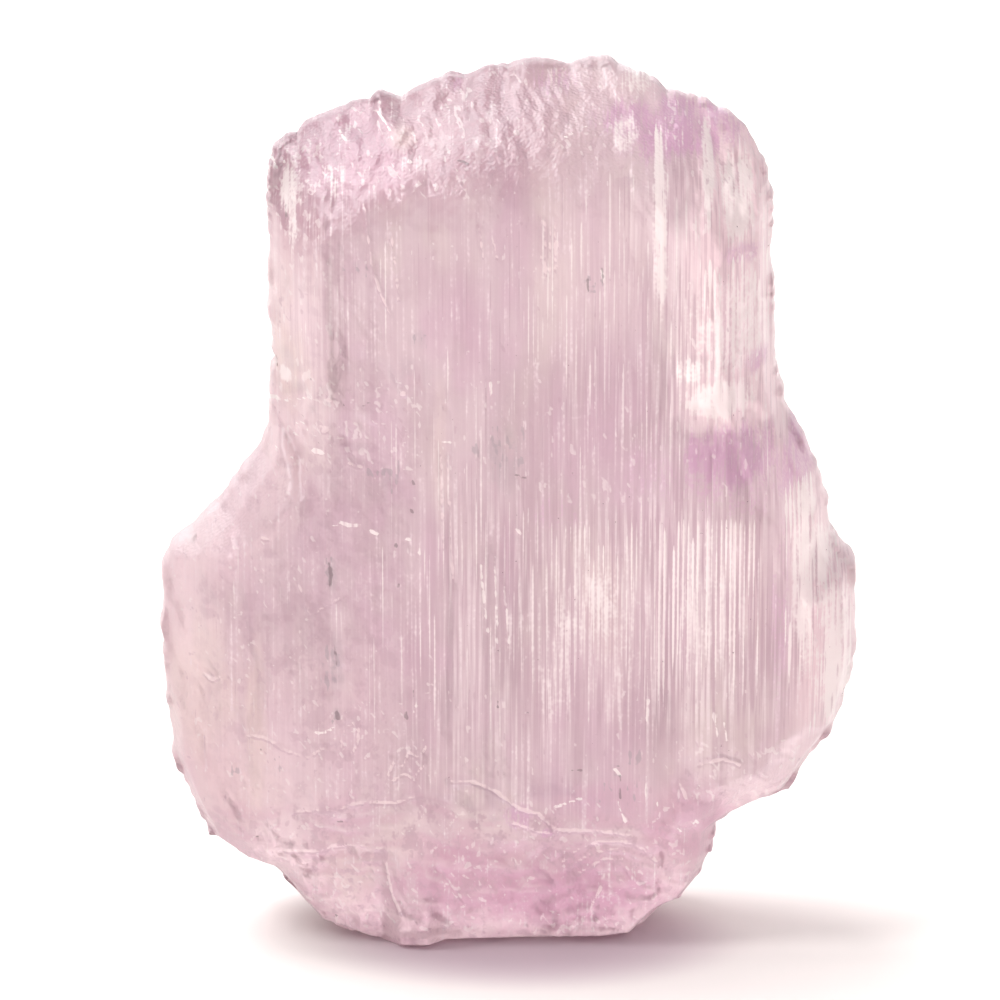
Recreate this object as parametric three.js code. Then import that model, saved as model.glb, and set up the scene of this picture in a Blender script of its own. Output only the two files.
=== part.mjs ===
// A kunzite crystal, the pink kind of spodumene: one flattened upright prism with side lobes that
// grew on to it, its broad faces grooved from top to base, its top etched and its base broken off.
// Millimetres, +Z up, front face towards -Y. The flat of the base lies at z = 0.
import * as THREE from "three";

// ---- driving dimensions ----
const HEIGHT = 50;           // base to highest tip
const FRONT_DEPTH = 7.8;     // from the middle plane to the striated front face
const BACK_DEPTH = 7.2;      // from the middle plane to the back face
const COLUMN = 0.66;         // mean spacing of the vertical columns, and so of the coarse grooves
const ROW = 1.28;            // mean spacing of the rows
const RIM_BULGE = 0.25;      // how far the rim stands out between its front and back edges
const BASE_BLEND = 6;        // rows follow the base edge below this height
const TOP_BLEND = 40;        // rows follow the top edge above this height
const TOP_SLOPE = 2.0;       // how fast the etched top falls back, depth per height
const FRONT_TOP_ROUND = 6.5; // how widely the etched top rounds into the front faces, in depth
const BACK_TOP_ROUND = 3.5;  // and into the back faces
const FRONT_ROUND = 2.0;     // rounding of the bevels of the front prisms
const BACK_ROUND = 3.0;      // rounding of the bevels of the back prisms
const BACK_JOINT = 1.4;      // rounding of the joints between the back prisms
const BREAK_ROUND = 0.6;     // rounding where the front meets its outer bevel and the broken base
const BACK_BREAK_ROUND = 1.0;    // and the same at the back
const TOP_RIM = 0.1;         // how far the top outline lies in front of the middle plane
const TOP_WEAR = 1.2;        // spacing of the places that the worn top outline is averaged from
const BACK_FOOT = 4.2;       // from the middle plane to the back edge of the broken base
const BACK_BREAK = 7.5;      // height of the broken base at the back
const EDGE_STEEP = 3.4;      // rise of the outer bevel from the rim, depth per distance
const EDGE_FLAT = 1.45;      // rise of the inner bevel
const EDGE_TURN = 1.5;       // height that the inner bevel would have at the rim

// ---- outline, hand-set corners ----
const LEFT_SIDE = [          // [height, x], from the base corner up
  [2.9, -12.6], [3.9, -13.6], [4.5, -15.2], [5.8, -17.0], [8.2, -18.2], [10.5, -19.1],
  [13.2, -19.3], [16.1, -19.5], [18.8, -19.6], [21.4, -19.5], [22.5, -19.0], [23.2, -18.1],
  [24.3, -17.0], [25.2, -16.0], [26.1, -15.5], [27.1, -14.7], [28.3, -13.8], [29.9, -13.3],
  [33.9, -13.1], [36.5, -13.3], [39.3, -13.2], [42.6, -13.3], [45.1, -13.0],
];
const RIGHT_SIDE = [         // [height, x], from the base corner up
  [3.0, 10.7], [4.5, 11.4], [6.3, 11.7], [7.1, 12.8], [7.9, 14.5], [8.5, 15.8], [9.4, 16.4],
  [11.1, 17.6], [12.5, 18.6], [14.4, 19.2], [16.8, 19.6], [19.7, 19.5], [21.8, 19.3],
  [22.6, 18.5], [23.6, 18.1], [25.5, 17.8], [27.2, 17.2], [28.7, 16.4], [29.8, 15.8],
  [31.0, 15.3], [32.8, 14.9], [35.9, 14.6], [39.0, 14.5], [42.1, 14.5], [43.6, 14.3],
  [44.6, 13.8],
];
const TOP_EDGE = [           // [x, height], left to right
  [-13.0, 45.1], [-12.4, 45.7], [-11.7, 45.6], [-11.3, 46.2], [-9.4, 47.1], [-8.3, 47.5],
  [-7.7, 47.5], [-7.2, 47.9], [-6.0, 47.7], [-4.7, 48.3], [-3.3, 48.9], [-2.5, 48.8],
  [-1.9, 49.1], [-1.0, 49.4], [-0.1, 49.3], [0.8, 49.8], [2.2, 49.6], [3.4, 49.4],
  [4.5, 49.75], [5.4, 49.7], [6.3, 49.4], [7.4, 49.1], [8.1, 48.7], [8.7, 48.0],
  [9.3, 48.0], [10.6, 47.5], [12.1, 47.0], [13.0, 46.2], [13.5, 45.4], [13.8, 44.6],
];
const BASE_EDGE = [          // [x, height], left to right; flat between the two zero points
  [-12.6, 2.9], [-11.8, 1.8], [-10.8, 0.7], [-9.4, 0.35], [-8.0, 0], [7.0, 0],
  [7.7, 0.7], [8.6, 1.5], [9.9, 2.0], [10.7, 3.0],
];
const BASE_FOOT = [          // [x, depth], how far the broken base reaches forward
  [-13, 1.6], [-9.4, 2.6], [-7.4, 3.6], [-6.2, 5.0], [-4.6, 5.0], [-3.6, 3.9], [0, 3.6],
  [5, 3.3], [7, 2.6], [11, 1.6],
];

// ---- the crystals grown side by side, each a low prism with flat faces ----
// left, right, low and high are where its bevels meet the middle plane, *Slope is depth per
// distance from there, depth is at the centre and lean is the tilt of the face across x.
const FRONT_CRYSTALS = [
  { name: "core", left: -14.4, leftSlope: 2.1, right: 16.0, rightSlope: 2.0, low: -8, lowSlope: 2,
    high: 60, highSlope: 2, centre: 0, depth: 7.3, lean: 0.03 },
  { name: "middle", left: -11.4, leftSlope: 1.15, right: 44.6, rightSlope: 0.22, low: 5, lowSlope: 1.6,
    high: 60, highSlope: 2, centre: 2, depth: 7.8, lean: -0.02 },
  { name: "upper left", left: -14.5, leftSlope: 2.1, right: 9, rightSlope: 0.6, low: 25.2,
    lowSlope: 0.9, high: 60, highSlope: 2, centre: -8, depth: 7.55, lean: 0.03 },
  { name: "left lobe", left: -21.2, leftSlope: 1.4, right: -1.5, rightSlope: 1.9, low: -2,
    lowSlope: 1.3, high: 34, highSlope: 1.2, centre: -12, depth: 6.7, lean: 0.09 },
  { name: "left inner", left: -17.9, leftSlope: 2.2, right: 2.6, rightSlope: 1.0, low: 2,
    lowSlope: 1.2, high: 29.4, highSlope: 0.8, centre: -11, depth: 7.15, lean: 0.04 },
  { name: "right lobe", left: 3.5, leftSlope: 1.3, right: 30.8, rightSlope: 0.5, low: 3,
    lowSlope: 1.2, high: 64, highSlope: 0.24, centre: 11, depth: 8.0, lean: -0.02 },
  { name: "right strip", left: 3.5, leftSlope: 1.3, right: 20.6, rightSlope: 1.6, low: 3,
    lowSlope: 1.2, high: 58, highSlope: 0.24, centre: 11, depth: 7.6, lean: -0.03 },
  { name: "outer right", left: 9, leftSlope: 1, right: 21.3, rightSlope: 2.4, low: 5,
    lowSlope: 0.9, high: 26.5, highSlope: 1.6, centre: 17.5, depth: 5.5, lean: -0.5 },
];
const BACK_CRYSTALS = [
  { name: "core", left: -14.8, leftSlope: 1.7, right: 16.4, rightSlope: 1.6, low: -8, lowSlope: 2,
    high: 60, highSlope: 2, centre: 0, depth: 6.6, lean: -0.03 },
  { name: "rib", left: -3.6, leftSlope: 2.4, right: 12.0, rightSlope: 2.0, low: 3, lowSlope: 1.5,
    high: 60, highSlope: 2, centre: 4, depth: 7.3, lean: 0.04 },
  { name: "short rib", left: -16.4, leftSlope: 0.9, right: 2.3, rightSlope: 0.9, low: 4,
    lowSlope: 0.9, high: 47, highSlope: 0.9, centre: -7, depth: 6.9, lean: -0.04 },
  { name: "left lobe", left: -22.0, leftSlope: 1.2, right: -3.0, rightSlope: 1.6, low: -4,
    lowSlope: 1.1, high: 32, highSlope: 1.0, centre: -13, depth: 6.1, lean: 0.12 },
  { name: "right lobe", left: 5.6, leftSlope: 1.5, right: 22.4, rightSlope: 1.1, low: 1,
    lowSlope: 1.1, high: 33, highSlope: 0.9, centre: 12, depth: 6.6, lean: -0.12 },
];
const PITS = [               // [x, height, radius, depth] etched hollows in the front
  [-11.4, 31.3, 1.3, 0.42], [-8.2, 30.1, 1.2, 0.3], [-12.1, 32.8, 1.0, 0.3], [-9.9, 22.4, 0.9, 0.24],
  [-9.9, 16.9, 1.2, 0.3], [-5.5, 11.8, 1.1, 0.3], [12.3, 43.4, 1.4, 0.18], [13.2, 30.9, 1.0, 0.24],
  [10.4, 31.2, 1.2, 0.18], [-16.9, 15.7, 0.9, 0.24],
];

const { clamp, lerp, smoothstep } = THREE.MathUtils;

// Reads a list of [at, value] corners, straight between them and level past the ends.
function readCorners(corners, at) {
  if (at <= corners[0][0]) return corners[0][1];
  for (let i = 1; i < corners.length; i++) {
    const [start, startValue] = corners[i - 1];
    const [end, endValue] = corners[i];
    if (at <= end) return lerp(startValue, endValue, (at - start) / (end - start));
  }
  return corners[corners.length - 1][1];
}

// The outline as lines of [x, z]: from the top left corner round by the base, and the whole of it.
const swap = ([height, x]) => [x, height];
const SIDES_AND_BASE = [
  ...LEFT_SIDE.map(swap).reverse(),
  ...BASE_EDGE.slice(1, -1),
  ...RIGHT_SIDE.map(swap),
];
const OUTLINE = [...SIDES_AND_BASE, ...[...TOP_EDGE].reverse()];

function distanceToLine(line, x, z) {
  let nearest = Infinity;
  for (let i = 1; i < line.length; i++) {
    const [x0, z0] = line[i - 1];
    const [x1, z1] = line[i];
    const lengthSquared = (x1 - x0) ** 2 + (z1 - z0) ** 2;
    if (lengthSquared === 0) continue;
    const along = clamp(((x - x0) * (x1 - x0) + (z - z0) * (z1 - z0)) / lengthSquared, 0, 1);
    nearest = Math.min(nearest, Math.hypot(x - lerp(x0, x1, along), z - lerp(z0, z1, along)));
  }
  return nearest;
}

// ---- surface detail ----
const zigzag = (t) => Math.abs((t - Math.floor(t)) * 2 - 1) * 2 - 1;

// Upright grooves: zigzags across x that keep their line and only fade along the height.
function grooves(x, z, seed) {
  const drift = 0.25 + 0.75 * Math.abs(Math.sin(0.9 * x + 0.11 * z + seed));
  return 0.11 * zigzag(x / 2.9 + seed) * drift + 0.09 * zigzag(x / 1.37 + 2.3 * seed)
    + 0.06 * zigzag(x / 4.7 + 0.7 * seed);
}

// Rounded, etched lumps.
function lumps(x, z, size, seed) {
  const u = x / size;
  const v = z / size;
  return 0.5 * Math.sin(2.1 * u + 0.8 * v + seed) * Math.sin(1.3 * v - 0.9 * u + 2 * seed)
    + 0.3 * Math.sin(4.3 * u - 1.9 * v + 3 * seed) * Math.sin(3.1 * v + 1.7 * u + seed)
    + 0.2 * Math.sin(7.9 * u + 5.3 * v + 5 * seed);
}

// The lower of two depths, rounded over the given width where they meet.
function softMin(a, b, width) {
  const share = clamp(0.5 + (0.5 * (b - a)) / width, 0, 1);
  return lerp(b, a, share) - width * share * (1 - share);
}

function prismDepth(crystal, x, z, rounding) {
  const bevels = Math.min(
    (x - crystal.left) * crystal.leftSlope,
    (crystal.right - x) * crystal.rightSlope,
    (z - crystal.low) * crystal.lowSlope,
    (crystal.high - z) * crystal.highSlope,
  );
  return softMin(crystal.depth + crystal.lean * (x - crystal.centre), bevels, rounding);
}

// The broken base: a face that falls back to the foot, with curved ripples from one centre.
const RIPPLE = { x: 5.4, z: 3.4, spacing: 2.3, height: 0.35 };
const BREAK_LINE = [[-20, 8.2], [-13, 9.2], [-8.8, 9.9], [0, 9.0], [7.3, 8.1], [12, 8.6], [17, 9.4]];

function brokenDepth(x, z, foot) {
  const from = Math.hypot((x - RIPPLE.x) * 0.8, z - RIPPLE.z);
  const ripple = RIPPLE.height * zigzag(from / RIPPLE.spacing);
  const ridge = 0.25 * (1 - Math.min(1, Math.abs(x + 6.4 + 0.25 * (z - 4.5)) / 2.4));
  const lineHeight = readCorners(BREAK_LINE, x);
  const rise = clamp(z / lineHeight, 0, 1.6);
  return foot + (FRONT_DEPTH - 0.3 - foot) * rise ** 0.55 + (ripple + ridge) * (1 - 0.4 * rise);
}

// Two bevels up from the rim, a steep one and then a flatter one.
function edgeDepth(rim, x, z) {
  const inward = distanceToLine(SIDES_AND_BASE, x, z);
  return rim + Math.min(EDGE_STEEP * inward, EDGE_TURN + EDGE_FLAT * inward);
}

// Half thickness of the rim, in front of and behind the middle plane.
function frontRim(x, z) {
  const foot = readCorners(BASE_FOOT, x);
  const side = 2.0 + 0.2 * Math.sin(0.35 * z + 1);
  const top = TOP_RIM + 0.4 * Math.sin(1.7 * x) * Math.sin(0.6 * x + 1);
  const low = lerp(foot, side, smoothstep(z, 0.4, 6));
  return lerp(low, top, smoothstep(z, 43.5, 46.5));
}
function backRim(x, z) {
  const side = 1.9 + 0.25 * Math.sin(0.3 * z + 2);
  const top = 2.2 + 0.4 * Math.sin(1.3 * x + 1);
  const low = lerp(BACK_FOOT, side, smoothstep(z, 0.4, 6));
  return lerp(low, top, smoothstep(z, 43.5, 46.5));
}

// How far below the top outline; further down the slope the outline's corners are worn away.
function belowTop(x, z) {
  const edge = readCorners(TOP_EDGE, x);
  const beside = [-2, -1, 0, 1, 2].map((step) => readCorners(TOP_EDGE, x + step * TOP_WEAR));
  const worn = beside.reduce((sum, height) => sum + height) / beside.length;
  return lerp(edge, worn, smoothstep(edge - z, 0.1, 1.1)) - z;
}

// The etched slope that falls forward from the top outline, thin at its upper edge.
function topDepth(x, z) {
  const below = belowTop(x, z);
  const rim = lerp(frontRim(x, z), TOP_RIM, smoothstep(below, 0.2, 1.6));
  const rough = 0.2 * lumps(x, z, 1.9, 2.1) + 0.3 * lumps(x, z, 3.6, 0.9);
  return rim + below * TOP_SLOPE + rough * smoothstep(below, -0.2, 1.2);
}

function frontDepth(x, z) {
  const rim = frontRim(x, z);
  const faces = Math.max(...FRONT_CRYSTALS.map((crystal) => prismDepth(crystal, x, z, FRONT_ROUND)));
  const etched = smoothstep(-x, 4.5, 7) * smoothstep(30 - z, -2, 2);
  const grooved = faces + grooves(x, z, 1.3) * lerp(1, 0.4, etched)
    + lumps(x, z, 2.6, 0.4) * lerp(0.06, 0.22, etched);
  const upper = softMin(grooved, topDepth(x, z), FRONT_TOP_ROUND);
  const base = brokenDepth(x, z, readCorners(BASE_FOOT, x)) + 0.2 * lumps(x, z, 1.8, 4.2);
  let depth = softMin(upper, softMin(base, edgeDepth(rim, x, z), BREAK_ROUND), BREAK_ROUND);
  PITS.forEach(([pitX, pitZ, radius, deep]) => {
    const near = Math.hypot(x - pitX, (z - pitZ) * 0.8) / radius;
    depth -= deep * Math.max(0, 1 - near);
  });
  return Math.max(depth, rim);
}

function backDepth(x, z) {
  const rim = backRim(x, z);
  const faces = BACK_CRYSTALS.map((crystal) => prismDepth(crystal, x, z, BACK_ROUND))
    .reduce((outer, depth) => -softMin(-outer, -depth, BACK_JOINT));
  const grooved = faces + grooves(x, z, 2.9) + 0.08 * lumps(x, z, 2.9, 1.7);
  const top = rim + (readCorners(TOP_EDGE, x) - z) * TOP_SLOPE * 1.2 + 0.4 * lumps(x, z, 2.2, 5.3);
  const upper = softMin(grooved, top, BACK_TOP_ROUND);
  const rise = clamp(z / BACK_BREAK, 0, 1.6);
  const base = BACK_FOOT + (BACK_DEPTH - BACK_FOOT) * rise ** 0.7 + 0.3 * lumps(x, z, 1.9, 3.6);
  const lower = softMin(base, edgeDepth(rim, x, z), 1.5 * BACK_BREAK_ROUND);
  return Math.max(softMin(upper, lower, BACK_BREAK_ROUND), rim);
}

// ---- the mesh: rows of points, joined row to row, front and back, then closed by a rim ----
function rowHeight(nominal, x) {
  const base = readCorners(BASE_EDGE, x);
  const top = readCorners(TOP_EDGE, x);
  if (nominal < BASE_BLEND) return lerp(base, BASE_BLEND, nominal / BASE_BLEND);
  if (nominal > TOP_BLEND) return lerp(TOP_BLEND, top, (nominal - TOP_BLEND) / (HEIGHT - TOP_BLEND));
  return nominal;
}

// Where a row meets a side, found by going back and forth between the row and the side.
function rowEnd(nominal, side) {
  let x = readCorners(side, nominal);
  for (let i = 0; i < 12; i++) x = lerp(x, readCorners(side, rowHeight(nominal, x)), 0.7);
  return x;
}

const COLUMNS = [];
for (let x = -20, i = 0; x < 20; i++) {
  COLUMNS.push(x);
  x += COLUMN * (1 + 0.35 * Math.sin(2.4 * i));
}

function makeRows() {
  const count = Math.round(HEIGHT / ROW);
  const rows = [];
  for (let i = 0; i <= count; i++) {
    const nominal = (HEIGHT * i) / count;
    const left = rowEnd(nominal, LEFT_SIDE);
    const right = rowEnd(nominal, RIGHT_SIDE);
    const alongEdge = nominal < BASE_BLEND || nominal > TOP_BLEND;
    const inner = COLUMNS.filter((x) => x > left + COLUMN / 2 && x < right - COLUMN / 2)
      .filter((x) => alongEdge || distanceToLine(OUTLINE, x, nominal) > COLUMN * 0.7);
    rows.push([left, ...inner, right].map((x) => [x, rowHeight(nominal, x)]));
  }
  return rows;
}

function makeCrystal() {
  const positions = [];
  const triangles = [];
  const add = (x, y, z) => positions.push(x, y, z) / 3 - 1;
  const face = (a, b, c, flip) => triangles.push(a, flip ? c : b, flip ? b : c);
  const xOf = (index) => positions[index * 3];

  // Joins two rows of points, taking the nearer next point each time.
  function joinRows(lower, upper, flip) {
    let i = 0;
    let j = 0;
    while (i < lower.length - 1 || j < upper.length - 1) {
      const lowerNext = i < lower.length - 1 ? xOf(lower[i + 1]) : Infinity;
      const upperNext = j < upper.length - 1 ? xOf(upper[j + 1]) : Infinity;
      if (lowerNext <= upperNext) face(lower[i], lower[++i], upper[j], flip);
      else face(lower[i], upper[j + 1], upper[j++], flip);
    }
  }

  const rows = makeRows();
  const front = rows.map((row) => row.map(([x, z]) => add(x, -frontDepth(x, z), z)));
  const back = rows.map((row) => row.map(([x, z]) => add(x, backDepth(x, z), z)));
  for (let i = 1; i < rows.length; i++) {
    joinRows(front[i - 1], front[i], false);
    joinRows(back[i - 1], back[i], true);
  }

  // The rim runs up the left side, over the top, down the right side and back along the base.
  const ring = (sheet) => [
    ...sheet.slice(0, -1).map((row) => row[0]),
    ...sheet[sheet.length - 1],
    ...sheet.slice(0, -1).reverse().map((row) => row[row.length - 1]),
    ...sheet[0].slice(1, -1).reverse(),
  ];
  const frontRing = ring(front);
  const backRing = ring(back);
  const middleRing = frontRing.map((index, i) => {
    const before = frontRing[(i + frontRing.length - 1) % frontRing.length];
    const after = frontRing[(i + 1) % frontRing.length];
    const [alongX, alongZ] = [0, 2].map((k) => positions[after * 3 + k] - positions[before * 3 + k]);
    const length = Math.hypot(alongX, alongZ);
    const [x, , z] = positions.slice(index * 3, index * 3 + 3);
    const bulge = RIM_BULGE * smoothstep(z, 0, 0.6);
    const middle = (positions[index * 3 + 1] + positions[backRing[i] * 3 + 1]) / 2;
    return add(x - (alongZ / length) * bulge, middle, z + (alongX / length) * bulge);
  });
  frontRing.forEach((frontIndex, i) => {
    const next = (i + 1) % frontRing.length;
    [[frontRing, middleRing], [middleRing, backRing]].forEach(([near, far]) => {
      face(near[i], near[next], far[i], false);
      face(near[next], far[next], far[i], false);
    });
  });

  const geometry = new THREE.BufferGeometry();
  geometry.setAttribute("position", new THREE.Float32BufferAttribute(positions, 3));
  geometry.setIndex(triangles);
  geometry.computeVertexNormals();
  geometry.computeBoundingBox();
  const { min, max } = geometry.boundingBox;
  const kunzite = new THREE.MeshStandardMaterial({
    color: "#e3c4d2",
    roughness: 0.3,
    metalness: 0,
    transparent: true,
    opacity: 0.8,
  });
  const crystal = new THREE.Mesh(geometry, kunzite);
  crystal.name = "crystal";
  crystal.position.set(-(min.x + max.x) / 2, -(min.y + max.y) / 2, -min.z);
  return crystal;
}

const kunziteCrystal = new THREE.Group();
kunziteCrystal.name = "kunzite_crystal";
kunziteCrystal.add(makeCrystal());

export default kunziteCrystal;
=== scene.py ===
"""A kunzite crystal: a clear, pale pink prism with grooved faces, an etched top and a broken base."""
import math

import bpy
import numpy as np
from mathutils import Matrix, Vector


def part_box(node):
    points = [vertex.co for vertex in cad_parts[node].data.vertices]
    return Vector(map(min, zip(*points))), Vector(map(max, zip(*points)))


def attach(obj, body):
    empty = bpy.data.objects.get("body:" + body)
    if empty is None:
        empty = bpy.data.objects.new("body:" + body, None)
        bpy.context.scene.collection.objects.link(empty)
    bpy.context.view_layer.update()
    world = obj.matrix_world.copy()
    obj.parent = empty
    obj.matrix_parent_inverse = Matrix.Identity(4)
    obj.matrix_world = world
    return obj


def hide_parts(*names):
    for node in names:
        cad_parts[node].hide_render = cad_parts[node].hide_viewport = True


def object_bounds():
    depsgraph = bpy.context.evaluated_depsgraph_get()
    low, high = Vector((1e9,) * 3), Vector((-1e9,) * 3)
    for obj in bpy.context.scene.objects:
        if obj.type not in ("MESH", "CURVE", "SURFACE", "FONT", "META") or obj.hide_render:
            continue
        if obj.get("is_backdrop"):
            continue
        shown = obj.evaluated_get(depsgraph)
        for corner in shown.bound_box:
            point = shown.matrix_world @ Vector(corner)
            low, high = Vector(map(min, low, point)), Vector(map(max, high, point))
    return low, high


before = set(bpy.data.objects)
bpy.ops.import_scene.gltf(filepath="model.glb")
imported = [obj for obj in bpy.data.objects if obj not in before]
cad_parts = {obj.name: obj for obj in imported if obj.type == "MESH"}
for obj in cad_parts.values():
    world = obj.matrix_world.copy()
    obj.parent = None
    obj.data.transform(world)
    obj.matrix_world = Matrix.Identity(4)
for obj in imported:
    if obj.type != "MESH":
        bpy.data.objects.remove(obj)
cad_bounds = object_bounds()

MM = 0.001

# ---- the crystal's form, in millimetres, as in the part ----
HEIGHT = 50
FRONT_DEPTH = 7.8
BACK_DEPTH = 7.2
RIM_BULGE = 0.25
BASE_BLEND = 6               # below this height the rows of the mesh bend to the base edge
TOP_BLEND = 40               # and above this one to the top edge
TOP_SLOPE = 2.0              # how fast the etched top gains depth below the top outline
FRONT_TOP_ROUND = 6.5        # how widely the etched top rounds into the front face
BACK_TOP_ROUND = 3.5         # and into the back face
FRONT_ROUND = 2.0            # how widely a face of the front rounds into its slopes
BACK_ROUND = 3.0
FRONT_JOINT = 0.05           # least rounding where two crystals join
BACK_JOINT = 1.4
BREAK_ROUND = 0.6            # rounding of the break and of the side edges into the front
BACK_BREAK_ROUND = 1.0
TOP_RIM = 0.1                # depth of the front at the top outline
BACK_FOOT = 4.2              # how far the broken base reaches back
BACK_BREAK = 7.5             # height of the break on the back
EDGE_STEEP = 3.4             # slope of the side edges close to the outline
EDGE_FLAT = 1.45             # and further in
EDGE_TURN = 1.5              # how deep the further slope starts at the outline

CAMERA_RISE = math.radians(14)
CAMERA_DISTANCE = 260
CAMERA_TARGET = np.array([-0.48, 0, 24.96])
CAMERA_LENS = 165.67
SENSOR = 36
PICTURE = 1000               # width of the square picture, in pixels

COLUMN = 0.13                # spacing of the columns of the mesh
ROW = 0.17                   # spacing of its rows
BACK_ROWS = 3                # the back keeps every third row
BACK_COLUMNS = 2             # and every second column
RIM_STEPS = 12               # points across the rim

LEFT_SIDE = np.array([       # [height, x], from the base corner up
    [2.9, -12.6], [3.9, -13.6], [4.5, -15.2], [5.8, -17], [8.2, -18.2], [10.5, -19.1],
    [13.2, -19.3], [16.1, -19.5], [18.8, -19.6], [21.4, -19.5], [22.5, -19], [23.2, -18.1],
    [24.3, -17], [25.2, -16], [26.1, -15.5], [27.1, -14.7], [28.3, -13.8], [29.9, -13.3],
    [33.9, -13.1], [36.5, -13.3], [39.3, -13.2], [42.6, -13.3], [45.1, -13],
])
RIGHT_SIDE = np.array([      # [height, x], from the base corner up
    [3, 10.7], [4.5, 11.4], [6.3, 11.7], [7.1, 12.8], [7.9, 14.5], [8.5, 15.8], [9.4, 16.4],
    [11.1, 17.6], [12.5, 18.6], [14.4, 19.2], [16.8, 19.6], [19.7, 19.5], [21.8, 19.3],
    [22.6, 18.5], [23.6, 18.1], [25.5, 17.8], [27.2, 17.2], [28.7, 16.4], [29.8, 15.8],
    [31, 15.3], [32.8, 14.9], [35.9, 14.6], [39, 14.5], [42.1, 14.5], [43.6, 14.3],
    [44.6, 13.8],
])
TOP_EDGE = np.array([        # [x, height], left to right
    [-13, 45.1], [-12.4, 45.7], [-11.7, 45.6], [-11.3, 46.2], [-9.4, 47.1], [-8.3, 47.5],
    [-7.7, 47.5], [-7.2, 47.9], [-6, 47.7], [-4.7, 48.3], [-3.3, 48.9], [-2.5, 48.8],
    [-1.9, 49.1], [-1, 49.4], [-0.1, 49.3], [0.8, 49.8], [2.2, 49.6], [3.4, 49.4],
    [4.5, 49.75], [5.4, 49.7], [6.3, 49.4], [7.4, 49.1], [8.1, 48.7], [8.7, 48],
    [9.3, 48], [10.6, 47.5], [12.1, 47], [13, 46.2], [13.5, 45.4], [13.8, 44.6],
])
BASE_EDGE = np.array([       # [x, height], left to right; flat between the two zero points
    [-12.6, 2.9], [-11.8, 1.8], [-10.8, 0.7], [-9.4, 0.35], [-8, 0], [7, 0],
    [7.7, 0.7], [8.6, 1.5], [9.9, 2], [10.7, 3],
])
BASE_FOOT = np.array([       # [x, depth], how far the broken base reaches forward
    [-13, 1.6], [-9.4, 2.6], [-7.4, 3.6], [-6.2, 5], [-4.6, 5], [-3.6, 3.9], [0, 3.6],
    [5, 3.3], [7, 2.6], [11, 1.6],
])

# left, leftSlope, right, rightSlope, low, lowSlope, high, highSlope, centre, depth, lean
FRONT_CRYSTALS = {
    "core": (-14.4, 2.1, 16, 2, -8, 2, 60, 2, 0, 7.3, 0.03),
    "middle": (-11.4, 1.15, 44.6, 0.22, 5, 1.6, 60, 2, 2, 7.8, -0.02),
    "upper left": (-14.5, 2.1, 9, 0.6, 25.2, 0.9, 60, 2, -8, 7.55, 0.03),
    "left lobe": (-21.2, 1.4, -1.5, 1.9, -2, 1.3, 34, 1.2, -12, 6.7, 0.09),
    "left inner": (-17.9, 2.2, 2.6, 1, 2, 1.2, 29.4, 0.8, -11, 7.15, 0.04),
    "right lobe": (3.5, 1.3, 30.8, 0.5, 3, 1.2, 64, 0.24, 11, 8, -0.02),
    "right strip": (3.5, 1.3, 20.6, 1.6, 3, 1.2, 58, 0.24, 11, 7.6, -0.03),
    "outer right": (9, 1, 21.3, 2.4, 5, 0.9, 26.5, 1.6, 17.5, 5.5, -0.5),
}
BACK_CRYSTALS = {
    "core": (-14.8, 1.7, 16.4, 1.6, -8, 2, 60, 2, 0, 6.6, -0.03),
    "rib": (-3.6, 2.4, 12, 2, 3, 1.5, 60, 2, 4, 7.3, 0.04),
    "short rib": (-16.4, 0.9, 2.3, 0.9, 4, 0.9, 47, 0.9, -7, 6.9, -0.04),
    "left lobe": (-22, 1.2, -3, 1.6, -4, 1.1, 32, 1, -13, 6.1, 0.12),
    "right lobe": (5.6, 1.5, 22.4, 1.1, 1, 1.1, 33, 0.9, 12, 6.6, -0.12),
}
PITS = [                     # x, height, radius, depth of the etched hollows in the front
    (-11.4, 31.3, 1.3, 0.7), (-8.2, 30.1, 1.2, 0.5), (-12.1, 32.8, 1, 0.5), (-9.9, 22.4, 0.9, 0.4),
    (-9.9, 16.9, 1.2, 0.5), (-5.5, 11.8, 1.1, 0.5), (12.3, 43.4, 1.4, 0.3), (13.2, 30.9, 1, 0.4),
    (10.4, 31.2, 1.2, 0.3), (-16.9, 15.7, 0.9, 0.4),
]
RIPPLE_X, RIPPLE_Z, RIPPLE_SPACING, RIPPLE_HEIGHT = 5.6, 4.2, 0.85, 0.11
BREAK_LINE = np.array([
    [-20, 8.2], [-13, 9.2], [-8.8, 9.9], [0, 9], [7.3, 8.1], [12, 8.6], [17, 9.4],
])


def read(corners, at):
    """Reads a list of [at, value] corners, straight between them and level past the ends."""
    return np.interp(at, corners[:, 0], corners[:, 1])


def mix(a, b, t):
    return a + (b - a) * t


def smooth(value, low, high):
    t = np.clip((value - low) / (high - low), 0, 1)
    return t * t * (3 - 2 * t)


# The outline as lines of [x, height]: from the top left corner round by the base, and the whole of it
SIDES_AND_BASE = np.concatenate([LEFT_SIDE[::-1, ::-1], BASE_EDGE[1:-1], RIGHT_SIDE[:, ::-1]])
OUTLINE = np.concatenate([SIDES_AND_BASE, TOP_EDGE[::-1]])


def distance_to_line(points, x, z):
    """How far each place is from a line of straight stretches."""
    nearest = np.full(np.shape(x), 1e9)
    for (x0, z0), (x1, z1) in zip(points, points[1:]):
        length_squared = (x1 - x0) ** 2 + (z1 - z0) ** 2
        if length_squared == 0:
            continue
        along = np.clip(((x - x0) * (x1 - x0) + (z - z0) * (z1 - z0)) / length_squared, 0, 1)
        nearest = np.minimum(nearest, np.hypot(x - mix(x0, x1, along), z - mix(z0, z1, along)))
    return nearest


# ---- surface detail ----
def zigzag(t):
    return np.abs((t - np.floor(t)) * 2 - 1) * 2 - 1


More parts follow.
